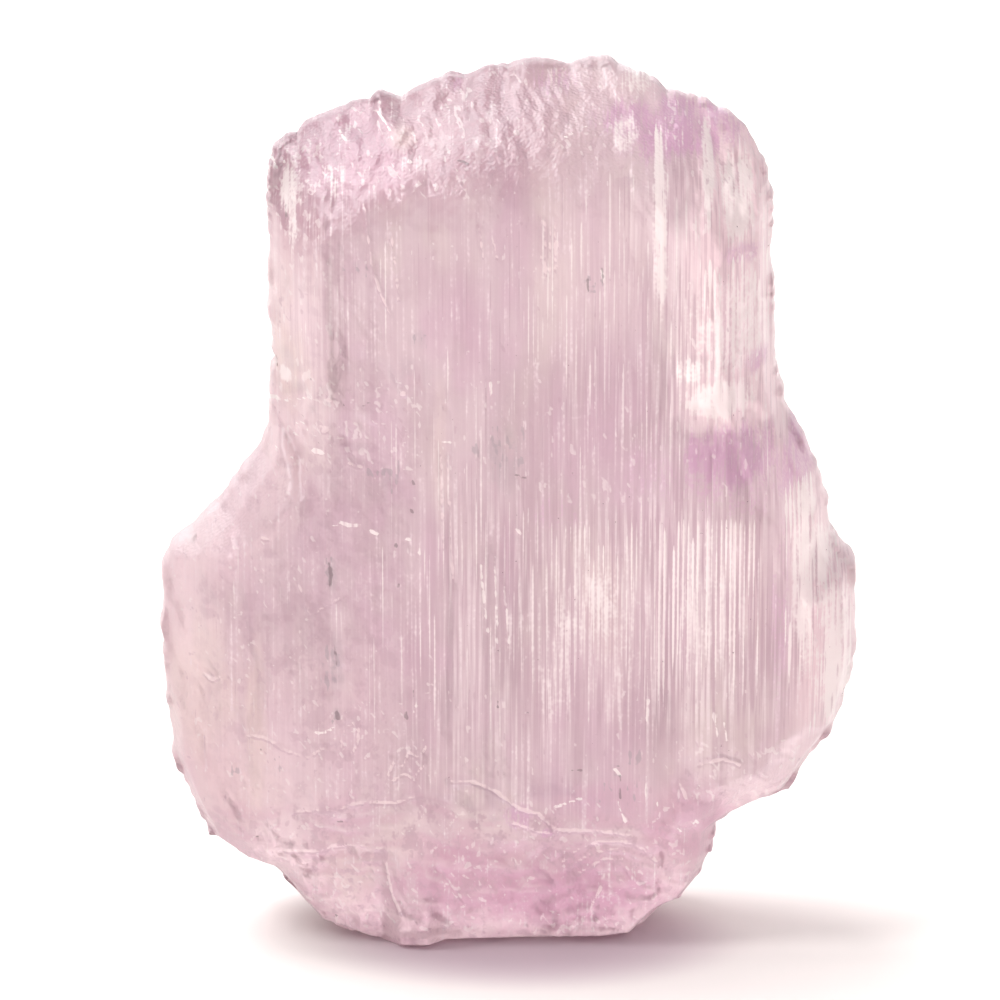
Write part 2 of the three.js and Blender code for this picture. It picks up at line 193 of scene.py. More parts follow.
def lumps(x, z, size, seed):
    u, v = x / size, z / size
    return (0.5 * np.sin(2.1 * u + 0.8 * v + seed) * np.sin(1.3 * v - 0.9 * u + 2 * seed)
            + 0.3 * np.sin(4.3 * u - 1.9 * v + 3 * seed) * np.sin(3.1 * v + 1.7 * u + seed)
            + 0.2 * np.sin(7.9 * u + 5.3 * v + 5 * seed))


def hills(x, z, wide, high, seed, crisp=False):
    """Random hills from -1 to 1, wide by high; crisp ones have straight flanks across x."""
    table = np.random.default_rng(seed).uniform(-1, 1, (128, 128))
    u, v = x / wide, z / high
    i, j = np.floor(u).astype(int), np.floor(v).astype(int)
    s, t = u - i, v - j
    if not crisp:
        s = s * s * (3 - 2 * s)
    t = t * t * (3 - 2 * t)
    corner = lambda a, b: table[(i + a) % 128, (j + b) % 128]
    return mix(mix(corner(0, 0), corner(1, 0), s), mix(corner(0, 1), corner(1, 1), s), t)


def crumbs(x, z, wide, high, seed):
    """Like hills, but with sharp crests where the hills cross zero."""
    return 1 - 3 * np.abs(hills(x, z, wide, high, seed))


def grooves(x, z, seed):
    """Broad upright ribs and furrows that drift slowly along the height."""
    return 0.12 * hills(x, z, 1.45, 26, seed, True) + 0.07 * hills(x, z, 0.7, 19, seed + 1, True)


def striations(x, z, seed):
    """Fine upright grooves that start, shift and fade along the height."""
    fine = 0.040 * hills(x, z, 0.62, 17, seed, True)
    fine += 0.030 * hills(x, z, 0.37, 8, seed + 1, True)
    fine += 0.024 * hills(x, z, 0.26, 4, seed + 2, True)
    strength = 0.75 + 0.5 * hills(x, z, 2.4, 7, seed + 3)
    return fine * strength


def etching(x, z, seed):
    """Lumps, crests and small hollows left where the face was dissolved."""
    rough = 0.09 * hills(x, z, 1.6, 2.0, seed) + 0.025 * crumbs(x, z, 1.0, 1.2, seed + 1)
    u, v = 0.82 * x + 0.57 * z, 0.82 * z - 0.57 * x
    rough += 0.035 * crumbs(u, v, 1.0, 1.3, seed + 5) + 0.04 * crumbs(u, v, 0.55, 0.65, seed + 2)
    rough += 0.02 * hills(x, z, 0.3, 0.4, seed + 4) + 0.02 * hills(u, v, 0.3, 0.4, seed + 6)
    hollow = np.clip(hills(u, v, 0.8, 1.0, seed + 3) - 0.5, 0, 1)
    return rough - 0.08 * hollow


# Zones of upright lines: x from, to, height from, to, how many, half width, length,
# share that hang from the top
# painted highlights: white lines where light reflects off the grooves, on low raised ridges
HIGHLIGHT_LINES = [
    (8.3, 13.8, 14.5, 25.9, 18, 0.05, 8.5, 0.7), (8.6, 13.4, 18, 25.9, 12, 0.035, 5, 0.7),
    (15.3, 17, 15, 27.4, 18, 0.07, 4, 0.4), (16.8, 19.2, 12, 24, 50, 0.07, 1.4, 0),
    (10.4, 14.4, 36.4, 40.4, 11, 0.08, 2.4, 0.3), (7.9, 8.5, 37, 47, 4, 0.08, 6, 0.2),
    (10.5, 11, 40.8, 46.2, 4, 0.08, 3.5, 0.2), (12.2, 13.5, 40.8, 45.4, 7, 0.07, 2.4, 0.2),
    (15.6, 17, 25, 27.6, 6, 0.06, 1.6, 0.5), (2.4, 6.2, 18, 25.5, 12, 0.035, 2.6, 0.2),
]
# fainter painted highlights on the grooves
FAINT_HIGHLIGHT_LINES = [
    (2, 8.4, 14, 25.8, 44, 0.035, 4, 0.3), (-5, 3, 13, 27, 26, 0.03, 5, 0.1),
    (0.6, 3, 34, 43, 9, 0.04, 4, 0.1), (7.4, 14.5, 33.4, 46.2, 46, 0.04, 2.6, 0.1),
    (-13.2, -7, 34, 45.4, 24, 0.035, 1.2, 0), (3, 8, 30, 45, 30, 0.035, 3, 0.1),
    (-18, -6, 11, 25, 12, 0.03, 2, 0), (7, 15, 25.3, 31.4, 50, 0.03, 1.3, 0.4),
    (-4.2, -3.2, 23, 31, 3, 0.05, 6, 0), (8.2, 14.2, 13, 25.9, 16, 0.03, 4, 0.2),
    (-8, 15, 12, 44, 60, 0.025, 5, 0),
]
SHADE_LINES = [
    (7.8, 14.6, 13, 25.9, 26, 0.04, 6, 0.3), (-5, 8, 12, 45, 60, 0.025, 4, 0.1),
    (7, 15, 26, 46, 40, 0.035, 2.5, 0.1), (15, 19.2, 12, 26, 26, 0.05, 2.5, 0.1),
    (-18, -5, 11, 44, 40, 0.035, 1.4, 0), (8, 15, 27, 30.6, 26, 0.035, 1.4, 0.5),
]
LINE_SPACING = 2 * COLUMN    # the lines stand on every second column, so that they stay apart
LINE_REACH = 0.26            # how far the field of a line reaches past its border


def make_lines(zones, seed):
    """The lines of the zones, each as x, low end, high end and half width, on columns of the mesh."""
    random = np.random.default_rng(seed)
    lines = []
    for left, right, low, high, count, width, length, hanging in zones:
        first, last = math.ceil(left / LINE_SPACING), math.floor(right / LINE_SPACING)
        spots = np.arange(first, last + 1) * LINE_SPACING
        rounds = math.ceil(count / len(spots))
        middles = np.concatenate([random.permutation(spots) for _ in range(rounds)])[:count]
        for middle in middles:
            long = min(length * random.uniform(0.35, 1.4), high - low)
            start = random.uniform(low, high - long)
            if random.random() < hanging:
                start = high - long - random.uniform(0, 0.25)
            lines.append((middle, start, start + long, max(0.028, width * random.uniform(0.5, 1.4))))
    return lines


def line_field(lines, x, z):
    """A field that passes 0.5 at the border of each line and rises inside it."""
    total = np.zeros(len(x))
    order = np.argsort(x)
    ordered = x[order]
    for middle, low, high, half in lines:
        reach = half + LINE_REACH
        first, last = np.searchsorted(ordered, [middle - reach, middle + reach])
        near = order[first:last]
        near = near[(z[near] > low - 0.5) & (z[near] < high + 0.5)]
        to_end = np.minimum(z[near] - low, high - z[near])
        taper = smooth(z[near] - low, -0.1, 1.8) * smooth(high - z[near], -0.1, 0.5)
        inside = np.minimum(half * taper - np.abs(x[near] - middle), 0.4 * to_end)
        total[near] = np.maximum(total[near], 0.5 + inside / (2 * LINE_REACH))
    return np.clip(total, 0, 1)


LINES = {
    "highlight_line": make_lines(HIGHLIGHT_LINES, 7),
    "faint_highlight_line": make_lines(FAINT_HIGHLIGHT_LINES, 9),
    "shade_line": make_lines(SHADE_LINES, 8),
}


def prism_depth(crystal, x, z, rounding):
    """A broad face and the four slopes that it falls away with, rounded where they meet."""
    left, left_slope, right, right_slope, low, low_slope, high, high_slope, centre, depth, lean = crystal
    slopes = np.minimum.reduce([
        (x - left) * left_slope,
        (right - x) * right_slope,
        (z - low) * low_slope,
        (high - z) * high_slope,
    ])
    return soft_min(depth + lean * (x - centre), slopes, rounding)


def broken_depth(x, z, foot):
    away = np.hypot((x - RIPPLE_X) * 0.8, z - RIPPLE_Z) + 0.25 * hills(x, z, 1.1, 1.1, 130)
    arcs = zigzag(away / RIPPLE_SPACING) * smooth(z, RIPPLE_Z - 0.4, RIPPLE_Z + 1.4)
    arcs = arcs * smooth(-away, -5.2, -3.6)
    ridge = 0.25 * (1 - np.minimum(1, np.abs(x + 6.4 + 0.25 * (z - 4.5)) / 2.4))
    rise = np.clip(z / read(BREAK_LINE, x), 0, 1.6)
    face = foot + (FRONT_DEPTH - 0.3 - foot) * rise ** 0.55
    return face + (RIPPLE_HEIGHT * arcs + ridge) * (1 - 0.4 * rise)


def edge_depth(rim, x, z):
    inward = distance_to_line(SIDES_AND_BASE, x, z)
    return rim + np.minimum(EDGE_STEEP * inward, EDGE_TURN + EDGE_FLAT * inward)


def rim_depth(z, foot, side, top):
    """The depth of a face at the outline, from the foot by the sides to the top."""
    return mix(mix(foot, side, smooth(z, 0.4, 6)), top, smooth(z, 43.5, 46.5))


def front_rim(x, z):
    top = TOP_RIM + 0.4 * np.sin(1.7 * x) * np.sin(0.6 * x + 1)
    return rim_depth(z, read(BASE_FOOT, x), 2.0 + 0.2 * np.sin(0.35 * z + 1), top)


def back_rim(x, z):
    top = 2.2 + 0.4 * np.sin(1.3 * x + 1)
    return rim_depth(z, BACK_FOOT, 1.9 + 0.25 * np.sin(0.3 * z + 2), top)


def soft_min(a, b, width):
    """The lower of two depths, rounded where they meet."""
    share = np.clip(0.5 + 0.5 * (b - a) / width, 0, 1)
    return mix(b, a, share) - width * share * (1 - share)


def join_faces(crystals, x, z, seed, soft, rounding):
    """The outermost of the crystals' faces; their joints are crisp in some places and rounded in others."""
    bent_x, bent_z = warp(x, z, seed)
    width = soft + 1.1 * np.clip(hills(x, z, 2.0, 4.0, seed + 5) + 0.35, 0, 1)
    joined = np.full(len(x), -50.0)
    for crystal in crystals.values():
        joined = -soft_min(-joined, -prism_depth(crystal, bent_x, bent_z, rounding), width)
    return joined


def warp(x, z, seed):
    """Bends the edges of the faces: slow waves along the height and teeth across the width."""
    bent_x = x + 0.7 * hills(x, z, 2.6, 4, seed) + 0.12 * hills(x, z, 0.7, 1.3, seed + 1)
    bent_z = z + 0.45 * hills(x, z, 0.4, 30, seed + 2, True) + 1.5 * hills(x, z, 1.7, 30, seed + 3)
    return bent_x, bent_z


# Ridges in the broken base: half width, height, then x and height of each point
CREASES = [
    (0.45, 0.3, -12, 8.7, -9.6, 9, -8.2, 9.4, -6.4, 9.5, -5.6, 9.7, -4.6, 10),
    (0.4, 0.35, -3.3, 10.6, -2, 10.6, -0.7, 10.1, -0.1, 9.6, 0.6, 9.2, 1.7, 8.8, 2.5, 8, 4, 7.9,
      5.4, 7.8, 6.7, 7.6),
    (0.35, 0.25, 0.2, 8.3, 1.6, 7.8, 2.5, 7.7),
    (0.4, 0.22, -12.7, 6.4, -10.6, 6.4, -9.8, 6.7, -8.3, 6.7, -7, 6.5),
    (0.35, 0.2, 2.9, 6.1, 3.8, 6.9, 5, 7.3, 6.3, 7.3, 7.4, 6.9, 8.1, 6.2),
    (0.3, 0.16, 3.3, 5.9, 4.6, 6.7, 5.6, 6.9, 6.7, 6.7), (0.35, 0.2, 9.3, 10.8, 9.7, 9.8, 9.9, 9.2),
    (0.4, 0.22, 10.3, 11.5, 11.6, 11.8, 12.6, 11.5, 14, 11, 15.6, 10.6),
    (0.3, -0.1, -6.9, 6.3, -6.7, 5, -6.3, 3.8, -5.9, 2.8),
    (0.4, 0.2, -1.5, 5.6, 0.4, 5, 1.6, 5.2, 2.8, 4.4),
    (0.35, 0.18, -4, 7.6, -2.4, 7.2, -0.8, 7.3, 0.4, 6.8),
]


def crease_height(x, z):
    total = np.zeros(len(x))
    for half, height, *places in CREASES:
        gap = distance_to_line(np.reshape(places, (-1, 2)), x, z) / half + 0.3 * hills(x, z, 0.5, 0.5, 140)
        total = total + height * np.clip(1 - np.abs(gap), 0, 1)
    return total


def front_etch(x, z):
    """How etched the front is: most at the top and the right shoulder, 0 on the grooved faces."""
    lobe = 0.75 * smooth(-x, 4.5, 7) * smooth(30 - z, -2, 2)
    upper_left = 0.5 * smooth(-x, 5.5, 8)
    shoulder = smooth(x, 8, 10) * smooth(-z, -11.6, -10.2)
    return np.maximum.reduce([lobe, upper_left, shoulder, upper_end(x, z)])


def upper_end(x, z):
    """1 on the etched top, with an uneven lower border."""
    return smooth(z + 1.2 * hills(x, z, 1.7, 1.7, 36), 41.8, 45.8)


def calm(x, z):
    """1 on the smooth middle of the front, above the lined faces."""
    return smooth(6.5 - np.abs(x + 2.2), 0, 3) * smooth(z, 24, 29)


def below_break(x, z):
    """1 on the broken base, below the line where the break starts."""
    return smooth(read(BREAK_LINE, x) + 0.4 * hills(x, z, 0.9, 0.9, 141) - z, -0.3, 0.5)


def shell_ridges(x, z):
    """The curved ridges of the break, long across the width: 1 on their crests, below 0 between them."""
    bent = z + 0.035 * (x - 4) ** 2 * smooth(x, -6, 2) + 0.5 * hills(x, z, 2.4, 2.0, 142)
    wide = crumbs(x, bent, 2.6, 0.75, 143)
    narrow = crumbs(x + 0.4 * z, bent, 1.1, 0.42, 144)
    return 0.6 * wide + 0.4 * narrow


def below_top(x, z):
    """How far below the top outline; further down the slope the outline's corners are worn away."""
    bent = x + 0.5 * hills(x, z, 1.6, 1.2, 39)
    worn = sum(read(TOP_EDGE, bent + shift) for shift in (-2.4, -1.2, 0, 1.2, 2.4)) / 5
    edge = read(TOP_EDGE, x)
    return mix(edge, worn, smooth(edge - z, 0.1, 1.1)) - z


def grooved_depth(x, z):
    """The front of the crystals, with their grooves and etching."""
    faces = join_faces(FRONT_CRYSTALS, x, z, 200, FRONT_JOINT, FRONT_ROUND)
    etched = front_etch(x, z)
    lined = (1 - upper_end(x, z)) * mix(1, 0.35, etched) * mix(1, 0.45, calm(x, z))
    depth = faces + (grooves(x, z, 12) + striations(x, z, 16)) * lined
    depth = depth + lumps(x, z, 2.6, 0.4) * mix(0.06, 0.2, etched)
    depth = depth + etching(x, z, 20) * mix(0.12, 1.0, etched) + 0.05 * hills(x, z, 0.35, 0.6, 27) * etched
    for name, height in (("highlight_line", 0.05), ("faint_highlight_line", 0.03), ("shade_line", -0.05)):
        depth = depth + height * smooth(line_field(LINES[name], x, z), 0.3, 0.56)
    return depth


def top_depth(x, z):
    """The etched slope that falls forward from the top outline."""
    below = below_top(x, z)
    u, v = 0.77 * x + 0.64 * z, 0.77 * z - 0.64 * x
    rough = 0.10 * lumps(x, z, 1.9, 2.1) + 0.16 * lumps(x, z, 3.6, 0.9) + 0.4 * etching(x, z, 30)
    rough = rough + 0.11 * hills(u, v, 1.9, 1.5, 34) + 0.05 * crumbs(u, v, 1.1, 0.8, 35)
    rough = rough + 0.04 * crumbs(u, v, 0.55, 0.45, 38) + 0.05 * hills(x, z, 0.35, 0.5, 33)
    rough = rough + 0.35 * hills(x, z, 2.7, 2.2, 37) * smooth(below, 1.5, 4.0)
    rim = mix(front_rim(x, z), TOP_RIM, smooth(below, 0.2, 1.6))
    return rim + below * TOP_SLOPE + rough * smooth(below, -0.2, 1.2)


def front_depth(x, z):
    rim = front_rim(x, z)
    bent_x, bent_z = warp(x, z, 200)
    base = broken_depth(bent_x, z + 0.4 * (bent_z - z), read(BASE_FOOT, x)) + 0.15 * lumps(x, z, 1.8, 4.2)
    base = base + 0.4 * etching(x, z, 40)
    base = base + 0.06 * crumbs(x, z, 1.9, 1.2, 46) + 0.05 * crumbs(x, z, 0.8, 0.6, 47)
    base = base + crease_height(x, z) + 0.07 * shell_ridges(x, z)
    edge = edge_depth(rim, x, z) + 0.35 * etching(x, z, 50) + 0.04 * crumbs(x, z, 0.8, 0.7, 53)
    upper = soft_min(grooved_depth(x, z), top_depth(x, z), FRONT_TOP_ROUND)
    depth = soft_min(upper, soft_min(base, edge, BREAK_ROUND), BREAK_ROUND)
    for pit_x, pit_z, radius, deep in PITS:
        near = np.hypot(x - pit_x, (z - pit_z) * 0.8) / radius
        near = near + 0.35 * hills(x, z, 0.5, 0.6, 210)
        depth = depth - 0.6 * deep * np.clip(1.4 * (1 - near), 0, 1)
    return np.maximum(depth, rim)


def back_depth(x, z):
    rim = back_rim(x, z)
    faces = join_faces(BACK_CRYSTALS, x, z, 220, BACK_JOINT, BACK_ROUND)
    grooved = faces + grooves(x, z, 62) + 0.08 * lumps(x, z, 2.9, 1.7)
    grooved = grooved + striations(x, z, 66) + 0.3 * etching(x, z, 70)
    top = rim + (read(TOP_EDGE, x) - z) * TOP_SLOPE * 1.2 + 0.4 * lumps(x, z, 2.2, 5.3)
    top = top + 1.8 * etching(x, z, 80) + 0.9 * hills(x, z, 0.8, 6, 85)
    rise = np.clip((z + 0.6 * hills(x, z, 1.7, 30, 223)) / BACK_BREAK, 0, 1.6)
    base = BACK_FOOT + (BACK_DEPTH - BACK_FOOT) * rise ** 0.7 + 0.3 * lumps(x, z, 1.9, 3.6)
    base = base + etching(x, z, 90)
    edge = edge_depth(rim, x, z) + 0.5 * etching(x, z, 100)
    depth = soft_min(soft_min(grooved, top, BACK_TOP_ROUND), soft_min(base, edge, 1.5), BACK_BREAK_ROUND)
    return np.maximum(depth, rim)


# ---- the mesh: rows of points, joined row to row, front and back, then closed by a rim ----
def row_height(nominal, x):
    if nominal < BASE_BLEND:
        return mix(read(BASE_EDGE, x), BASE_BLEND, nominal / BASE_BLEND)
    if nominal > TOP_BLEND:
        return mix(TOP_BLEND, read(TOP_EDGE, x), (nominal - TOP_BLEND) / (HEIGHT - TOP_BLEND))
    return np.full(np.shape(x), float(nominal))


def row_end(nominal, side):
    x = read(side, nominal)
    for _ in range(12):
        x = mix(x, read(side, row_height(nominal, x)), 0.7)
    return float(x)


def make_rows():
    columns = np.arange(-round(20 / COLUMN), round(20 / COLUMN)) * COLUMN
    count = round(HEIGHT / ROW)
    rows = []
    for i in range(count + 1):
        nominal = HEIGHT * i / count
        left, right = row_end(nominal, LEFT_SIDE), row_end(nominal, RIGHT_SIDE)
        inner = columns[(columns > left + COLUMN / 2) & (columns < right - COLUMN / 2)]
        if BASE_BLEND <= nominal <= TOP_BLEND:
            gap = distance_to_line(OUTLINE, inner, np.full(len(inner), nominal))
            inner = inner[gap > COLUMN * 0.7]
        jog = [
            0.13 * float(hills(side, nominal, 1, 0.9, 230)) + 0.09 * float(hills(side, nominal, 1, 0.4, 231))
            for side in (left, right)
        ]
        x = np.concatenate([[left + jog[0]], inner, [right + jog[1]]])
        uneven = 0.14 * hills(x, x * 0, 0.9, 1, 240) + 0.07 * hills(x, x * 0, 0.35, 1, 241)
        near_base = 0.8 * smooth(-nominal, -2, 0) * smooth(np.abs(x + 0.5), 7.6, 8.6)
        near_end = smooth(nominal, 44, HEIGHT) + near_base
        rows.append((x, row_height(nominal, x) + uneven * near_end))
    return rows


def join_rows(lower, upper, x_of, flip):
    """Triangles between two rows of points, taking the nearer next point each time."""
    faces = []
    i = j = 0
    while i < len(lower) - 1 or j < len(upper) - 1:
        lower_next = x_of[lower[i + 1]] if i < len(lower) - 1 else math.inf
        upper_next = x_of[upper[j + 1]] if j < len(upper) - 1 else math.inf
        if lower_next <= upper_next:
            face = (lower[i], lower[i + 1], upper[j])
            i += 1
        else:
            face = (lower[i], upper[j + 1], upper[j])
            j += 1
        faces.append(face[::-1] if flip else face)
    return faces


def ring_of(sheet):
    return (
        [row[0] for row in sheet[:-1]]
        + list(sheet[-1])
        + [row[-1] for row in sheet[:-1]][::-1]
        + list(sheet[0][1:-1])[::-1]
    )


def fan(chain, tip, flip):
    """Triangles from a tip to each stretch of a chain."""
    return [(b, a, tip) if flip else (a, b, tip) for a, b in zip(chain, chain[1:])]


def join_front(sheet, x_of):
    faces = []
    for lower, upper in zip(sheet, sheet[1:]):
        faces += join_rows(lower, upper, x_of, False)
    return faces


def join_back(sheet, x_of):
    """Joins every third row of the back, with every second point, to a full border."""
    faces = []
    last = len(sheet) - 1
    kept = list(range(0, last, BACK_ROWS)) + [last]
    thinned = {i: sheet[i] if i in (0, last) else sheet[i][:1] + sheet[i][1:-1:BACK_COLUMNS] + sheet[i][-1:]
               for i in kept}
    for low, high in zip(kept, kept[1:]):
        faces += join_rows(thinned[low], thinned[high], x_of, True)
        left = [sheet[i][0] for i in range(low, high)]
        right = [sheet[i][-1] for i in range(low, high)]
        faces += fan(left, sheet[high][0], False) + fan(right, sheet[high][-1], True)
    return faces


def close_rim(points, near, far):
    """Loops of points across the rim, from the front's border to the back's, and their triangles."""
    start, end = points[near], points[far]
    along = np.roll(start, -1, axis=0) - np.roll(start, 1, axis=0)
    along = along / np.hypot(along[:, 0], along[:, 2])[:, None]
    outward = np.stack([-along[:, 2], np.zeros(len(near)), along[:, 0]], axis=1)
    upright = np.abs(along[:, 2])
    loops = [near]
    rim_points = []
    for step in range(1, RIM_STEPS):
        share = step / RIM_STEPS
        middle = math.sin(math.pi * share)
        point = mix(start, end, share)
        groove = 0.06 * hills(point[:, 1], point[:, 2], 0.5, 9, 110, True)
        rough = 0.10 * hills(point[:, 0] + point[:, 1], point[:, 2] - point[:, 1], 0.9, 0.9, 120)
        inset = np.minimum(0, groove * upright + rough * mix(1, 0.4, upright))
        swell = (RIM_BULGE * middle ** 0.7 + inset * middle) * smooth(point[:, 2], 0, 0.6)
        rim_points.append(point + outward * swell[:, None])
        loops.append(np.arange(len(near)) + len(points) + (step - 1) * len(near))
    loops.append(far)
    faces = []
    for one, other in zip(loops, loops[1:]):
        one_next, other_next = np.roll(one, -1), np.roll(other, -1)
        faces += np.stack([one, one_next, other], axis=1).tolist()
        faces += np.stack([one_next, other_next, other], axis=1).tolist()
    return rim_points, faces


def crystal_mesh():
    rows = make_rows()
    x, z = (np.concatenate(part) for part in zip(*rows))
    starts = np.cumsum([0] + [len(row_x) for row_x, _ in rows])
    front = [list(range(start, end)) for start, end in zip(starts, starts[1:])]
    back = [[index + len(x) for index in row] for row in front]
    points = np.concatenate([
        np.stack([x, -front_depth(x, z), z], axis=1),
        np.stack([x, back_depth(x, z), z], axis=1),
    ])
    x_of = points[:, 0].tolist()
    rim_points, rim_faces = close_rim(points, np.array(ring_of(front)), np.array(ring_of(back)))
    faces = join_front(front, x_of) + join_back(back, x_of) + rim_faces
    used, faces = np.unique(np.array(faces), return_inverse=True)
    points = np.concatenate([points] + rim_points)[used]
    return points, faces.reshape(-1, 3).tolist()


def fit_to_part(points):
    """Centres the points over the origin and keeps them inside the part's own box."""
    low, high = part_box("crystal")
    size = np.array(high - low) / MM
    own = points.max(axis=0) - points.min(axis=0)
    points = points - (points.max(axis=0) + points.min(axis=0)) / 2
    points = points * np.minimum(1, size / own)
    points[:, 2] -= points[:, 2].min()
    return points


# Zones of the surface: x, height, half width, half height, strength. They fade at their borders.
ZONES = {
    "violet": [
        (9.8, 46.6, 4, 1.5, 1), (6.3, 47.2, 1.8, 1, 0.9), (12, 29.2, 3.4, 1.8, 1),
        (12.4, 28.2, 5.6, 2.6, 0.55), (16.2, 28.6, 1.4, 2.2, 0.8), (13.7, 34.2, 0.9, 0.9, 0.8),
        (12.6, 40.3, 2, 0.7, 0.5), (15, 20.5, 0.8, 7, 0.4), (2.6, 49, 1.6, 0.8, 0.5),
        (2.5, 26.2, 1.8, 1.1, 0.4), (-3, 49, 0.7, 0.7, 0.5), (0.6, 8.4, 0.8, 0.8, 0.6),
        (2.2, 7.4, 0.6, 0.4, 0.8),
    ],
    "magenta": [
        (3.4, 3.4, 7, 2.6, 1), (10, 7.5, 3.2, 3.4, 0.7), (-2.6, 4.2, 4.4, 3, 0.8), (6, 9.2, 4, 1.6, 0.45),
        (-8.6, 45.4, 3.6, 2.2, 0.6), (-17, 9, 3, 4, 0.3),
    ],
    # painted light: paler patches at the glowing edges and bright places, and over bands that the lamps
    # leave darker
    "light": [
        (-18.6, 16, 2.4, 8, 0.9), (-14.6, 9.6, 5.4, 4.6, 0.9), (18.4, 17.5, 1.9, 6.5, 1),
        (11.6, 41.8, 4, 5.3, 1), (5, 40, 4.5, 6, 0.55), (11.6, 32.2, 3.2, 2, 1), (12.6, 37, 3, 3.4, 0.7),
        (16.3, 21.5, 1.4, 6.4, 0.7), (5.6, 19.5, 3, 5, 0.45), (-11, 37, 3.4, 8.5, 0.35),
        (10, 11, 4.5, 2, 0.35), (-13.5, 24, 4, 4, 0.3),
    ],
    "cream": [
        (-12.3, 33.8, 1.2, 2.8, 1), (-12.6, 38, 1, 3, 0.4), (-17.5, 15, 2.4, 5, 0.7),
        (-14.2, 13, 0.7, 5, 0.8), (-15.5, 10, 3, 3.4, 0.4), (13, 22, 1.8, 4, 0.3),
        (5.3, 21.2, 1.2, 3, 0.5), (-3.8, 29, 0.5, 4, 0.5), (-9, 4.6, 1.8, 2.4, 0.5),
        (-5.8, 46.2, 0.8, 0.7, 0.7),
    ],
    # partly white veils and partly painted sheen and glints where the crystal reflects light
    "white_and_sheen": [
        (-12.2, 43.2, 0.7, 1.5, 0.7), (-11.9, 41.4, 0.45, 1.2, 0.7), (-9.5, 44.2, 0.7, 1.3, 0.4),
        (8.2, 42.2, 0.42, 5, 1), (10.85, 44.2, 0.34, 3, 1), (12.1, 43.4, 0.4, 2.4, 1),
        (12.95, 43.4, 0.45, 2.2, 1), (12.5, 42.4, 0.9, 1.3, 1), (12.2, 36.4, 2.5, 3.2, 0.62),
        (11.5, 32.4, 2.3, 1.2, 1), (9.9, 34, 1, 1, 0.7), (10.8, 21, 3.2, 5, 0.2),
        (5.3, 21.2, 1.1, 2.6, 0.65), (16.5, 26, 0.8, 1.2, 1), (16.4, 21, 0.8, 5.4, 0.8),
        (18.4, 17.4, 1.3, 4.8, 0.9), (17.4, 23.2, 1.5, 1.7, 0.9), (4.4, 19, 4.5, 5, 0.25),
        (-12.4, 33, 0.6, 0.5, 0.9), (6.3, 46.7, 1, 0.9, 0.6), (7.2, 49, 1.2, 0.6, 0.5),
    ],
    "grey": [
        (-4.9, 35.8, 0.5, 0.6, 0.7), (-5.2, 33.9, 1.1, 1, 0.6), (-0.3, 29.2, 1.6, 1.8, 0.9),
        (-9.8, 22.4, 0.3, 1, 1), (-9.7, 17.2, 0.8, 1.9, 0.9), (-9.6, 14.4, 0.3, 0.5, 1),
        (-8.2, 39.9, 1.4, 0.3, 0.8), (-6.9, 27.9, 0.9, 0.7, 0.7), (6.8, 12.6, 0.5, 0.7, 0.7),
        (-16.2, 14.6, 1, 3.4, 0.35), (-12.7, 11.9, 0.2, 0.7, 0.9), (-12.1, 34, 0.8, 0.7, 0.5),
        (2.6, 32, 0.8, 1.4, 0.3),
    ],
}


# Zones where fine upright lines show strongly: x, height, half width, half height, strength
LINED = [
    (11, 20.6, 3.4, 6.2, 1), (5.2, 20, 3.4, 6.2, 0.6), (16.2, 21.5, 1.2, 6, 0.9), (18.2, 18, 1.4, 5, 0.7),
    (11.6, 38.6, 3.6, 7.5, 0.8), (12.2, 28.6, 4, 2.4, 0.7), (0, 20, 3.5, 7.5, 0.35),
    (-11, 38, 2.6, 6.5, 0.3),
]


def lined_strength(x, z):
    total = np.zeros(len(x))
    for centre_x, centre_z, wide, high, strength in LINED:
        away = np.maximum(np.abs(x - centre_x) / wide, np.abs(z - centre_z) / high)
        away = away + 0.12 * hills(x, z, 0.4, 3.0, 252)
        total = np.maximum(total, strength * smooth(-away, -1.15, -0.8))
    return total


def zone_strength(name, x, z):
    """How far a point lies in the zones of one name, from 0 to 1, with ragged borders."""
    total = np.zeros(len(x))
    border = 0.15 * hills(x, z, 1.3, 1.1, 250) if name == "magenta" else 0.25 * hills(x, z, 0.5, 3.0, 250)
    for centre_x, centre_z, wide, high, strength in ZONES[name]:
        away = np.hypot((x - centre_x) / wide, (z - centre_z) / high)
        away = away + border
        total = np.maximum(total, strength * smooth(-away, -1.3, -0.4))
    return total
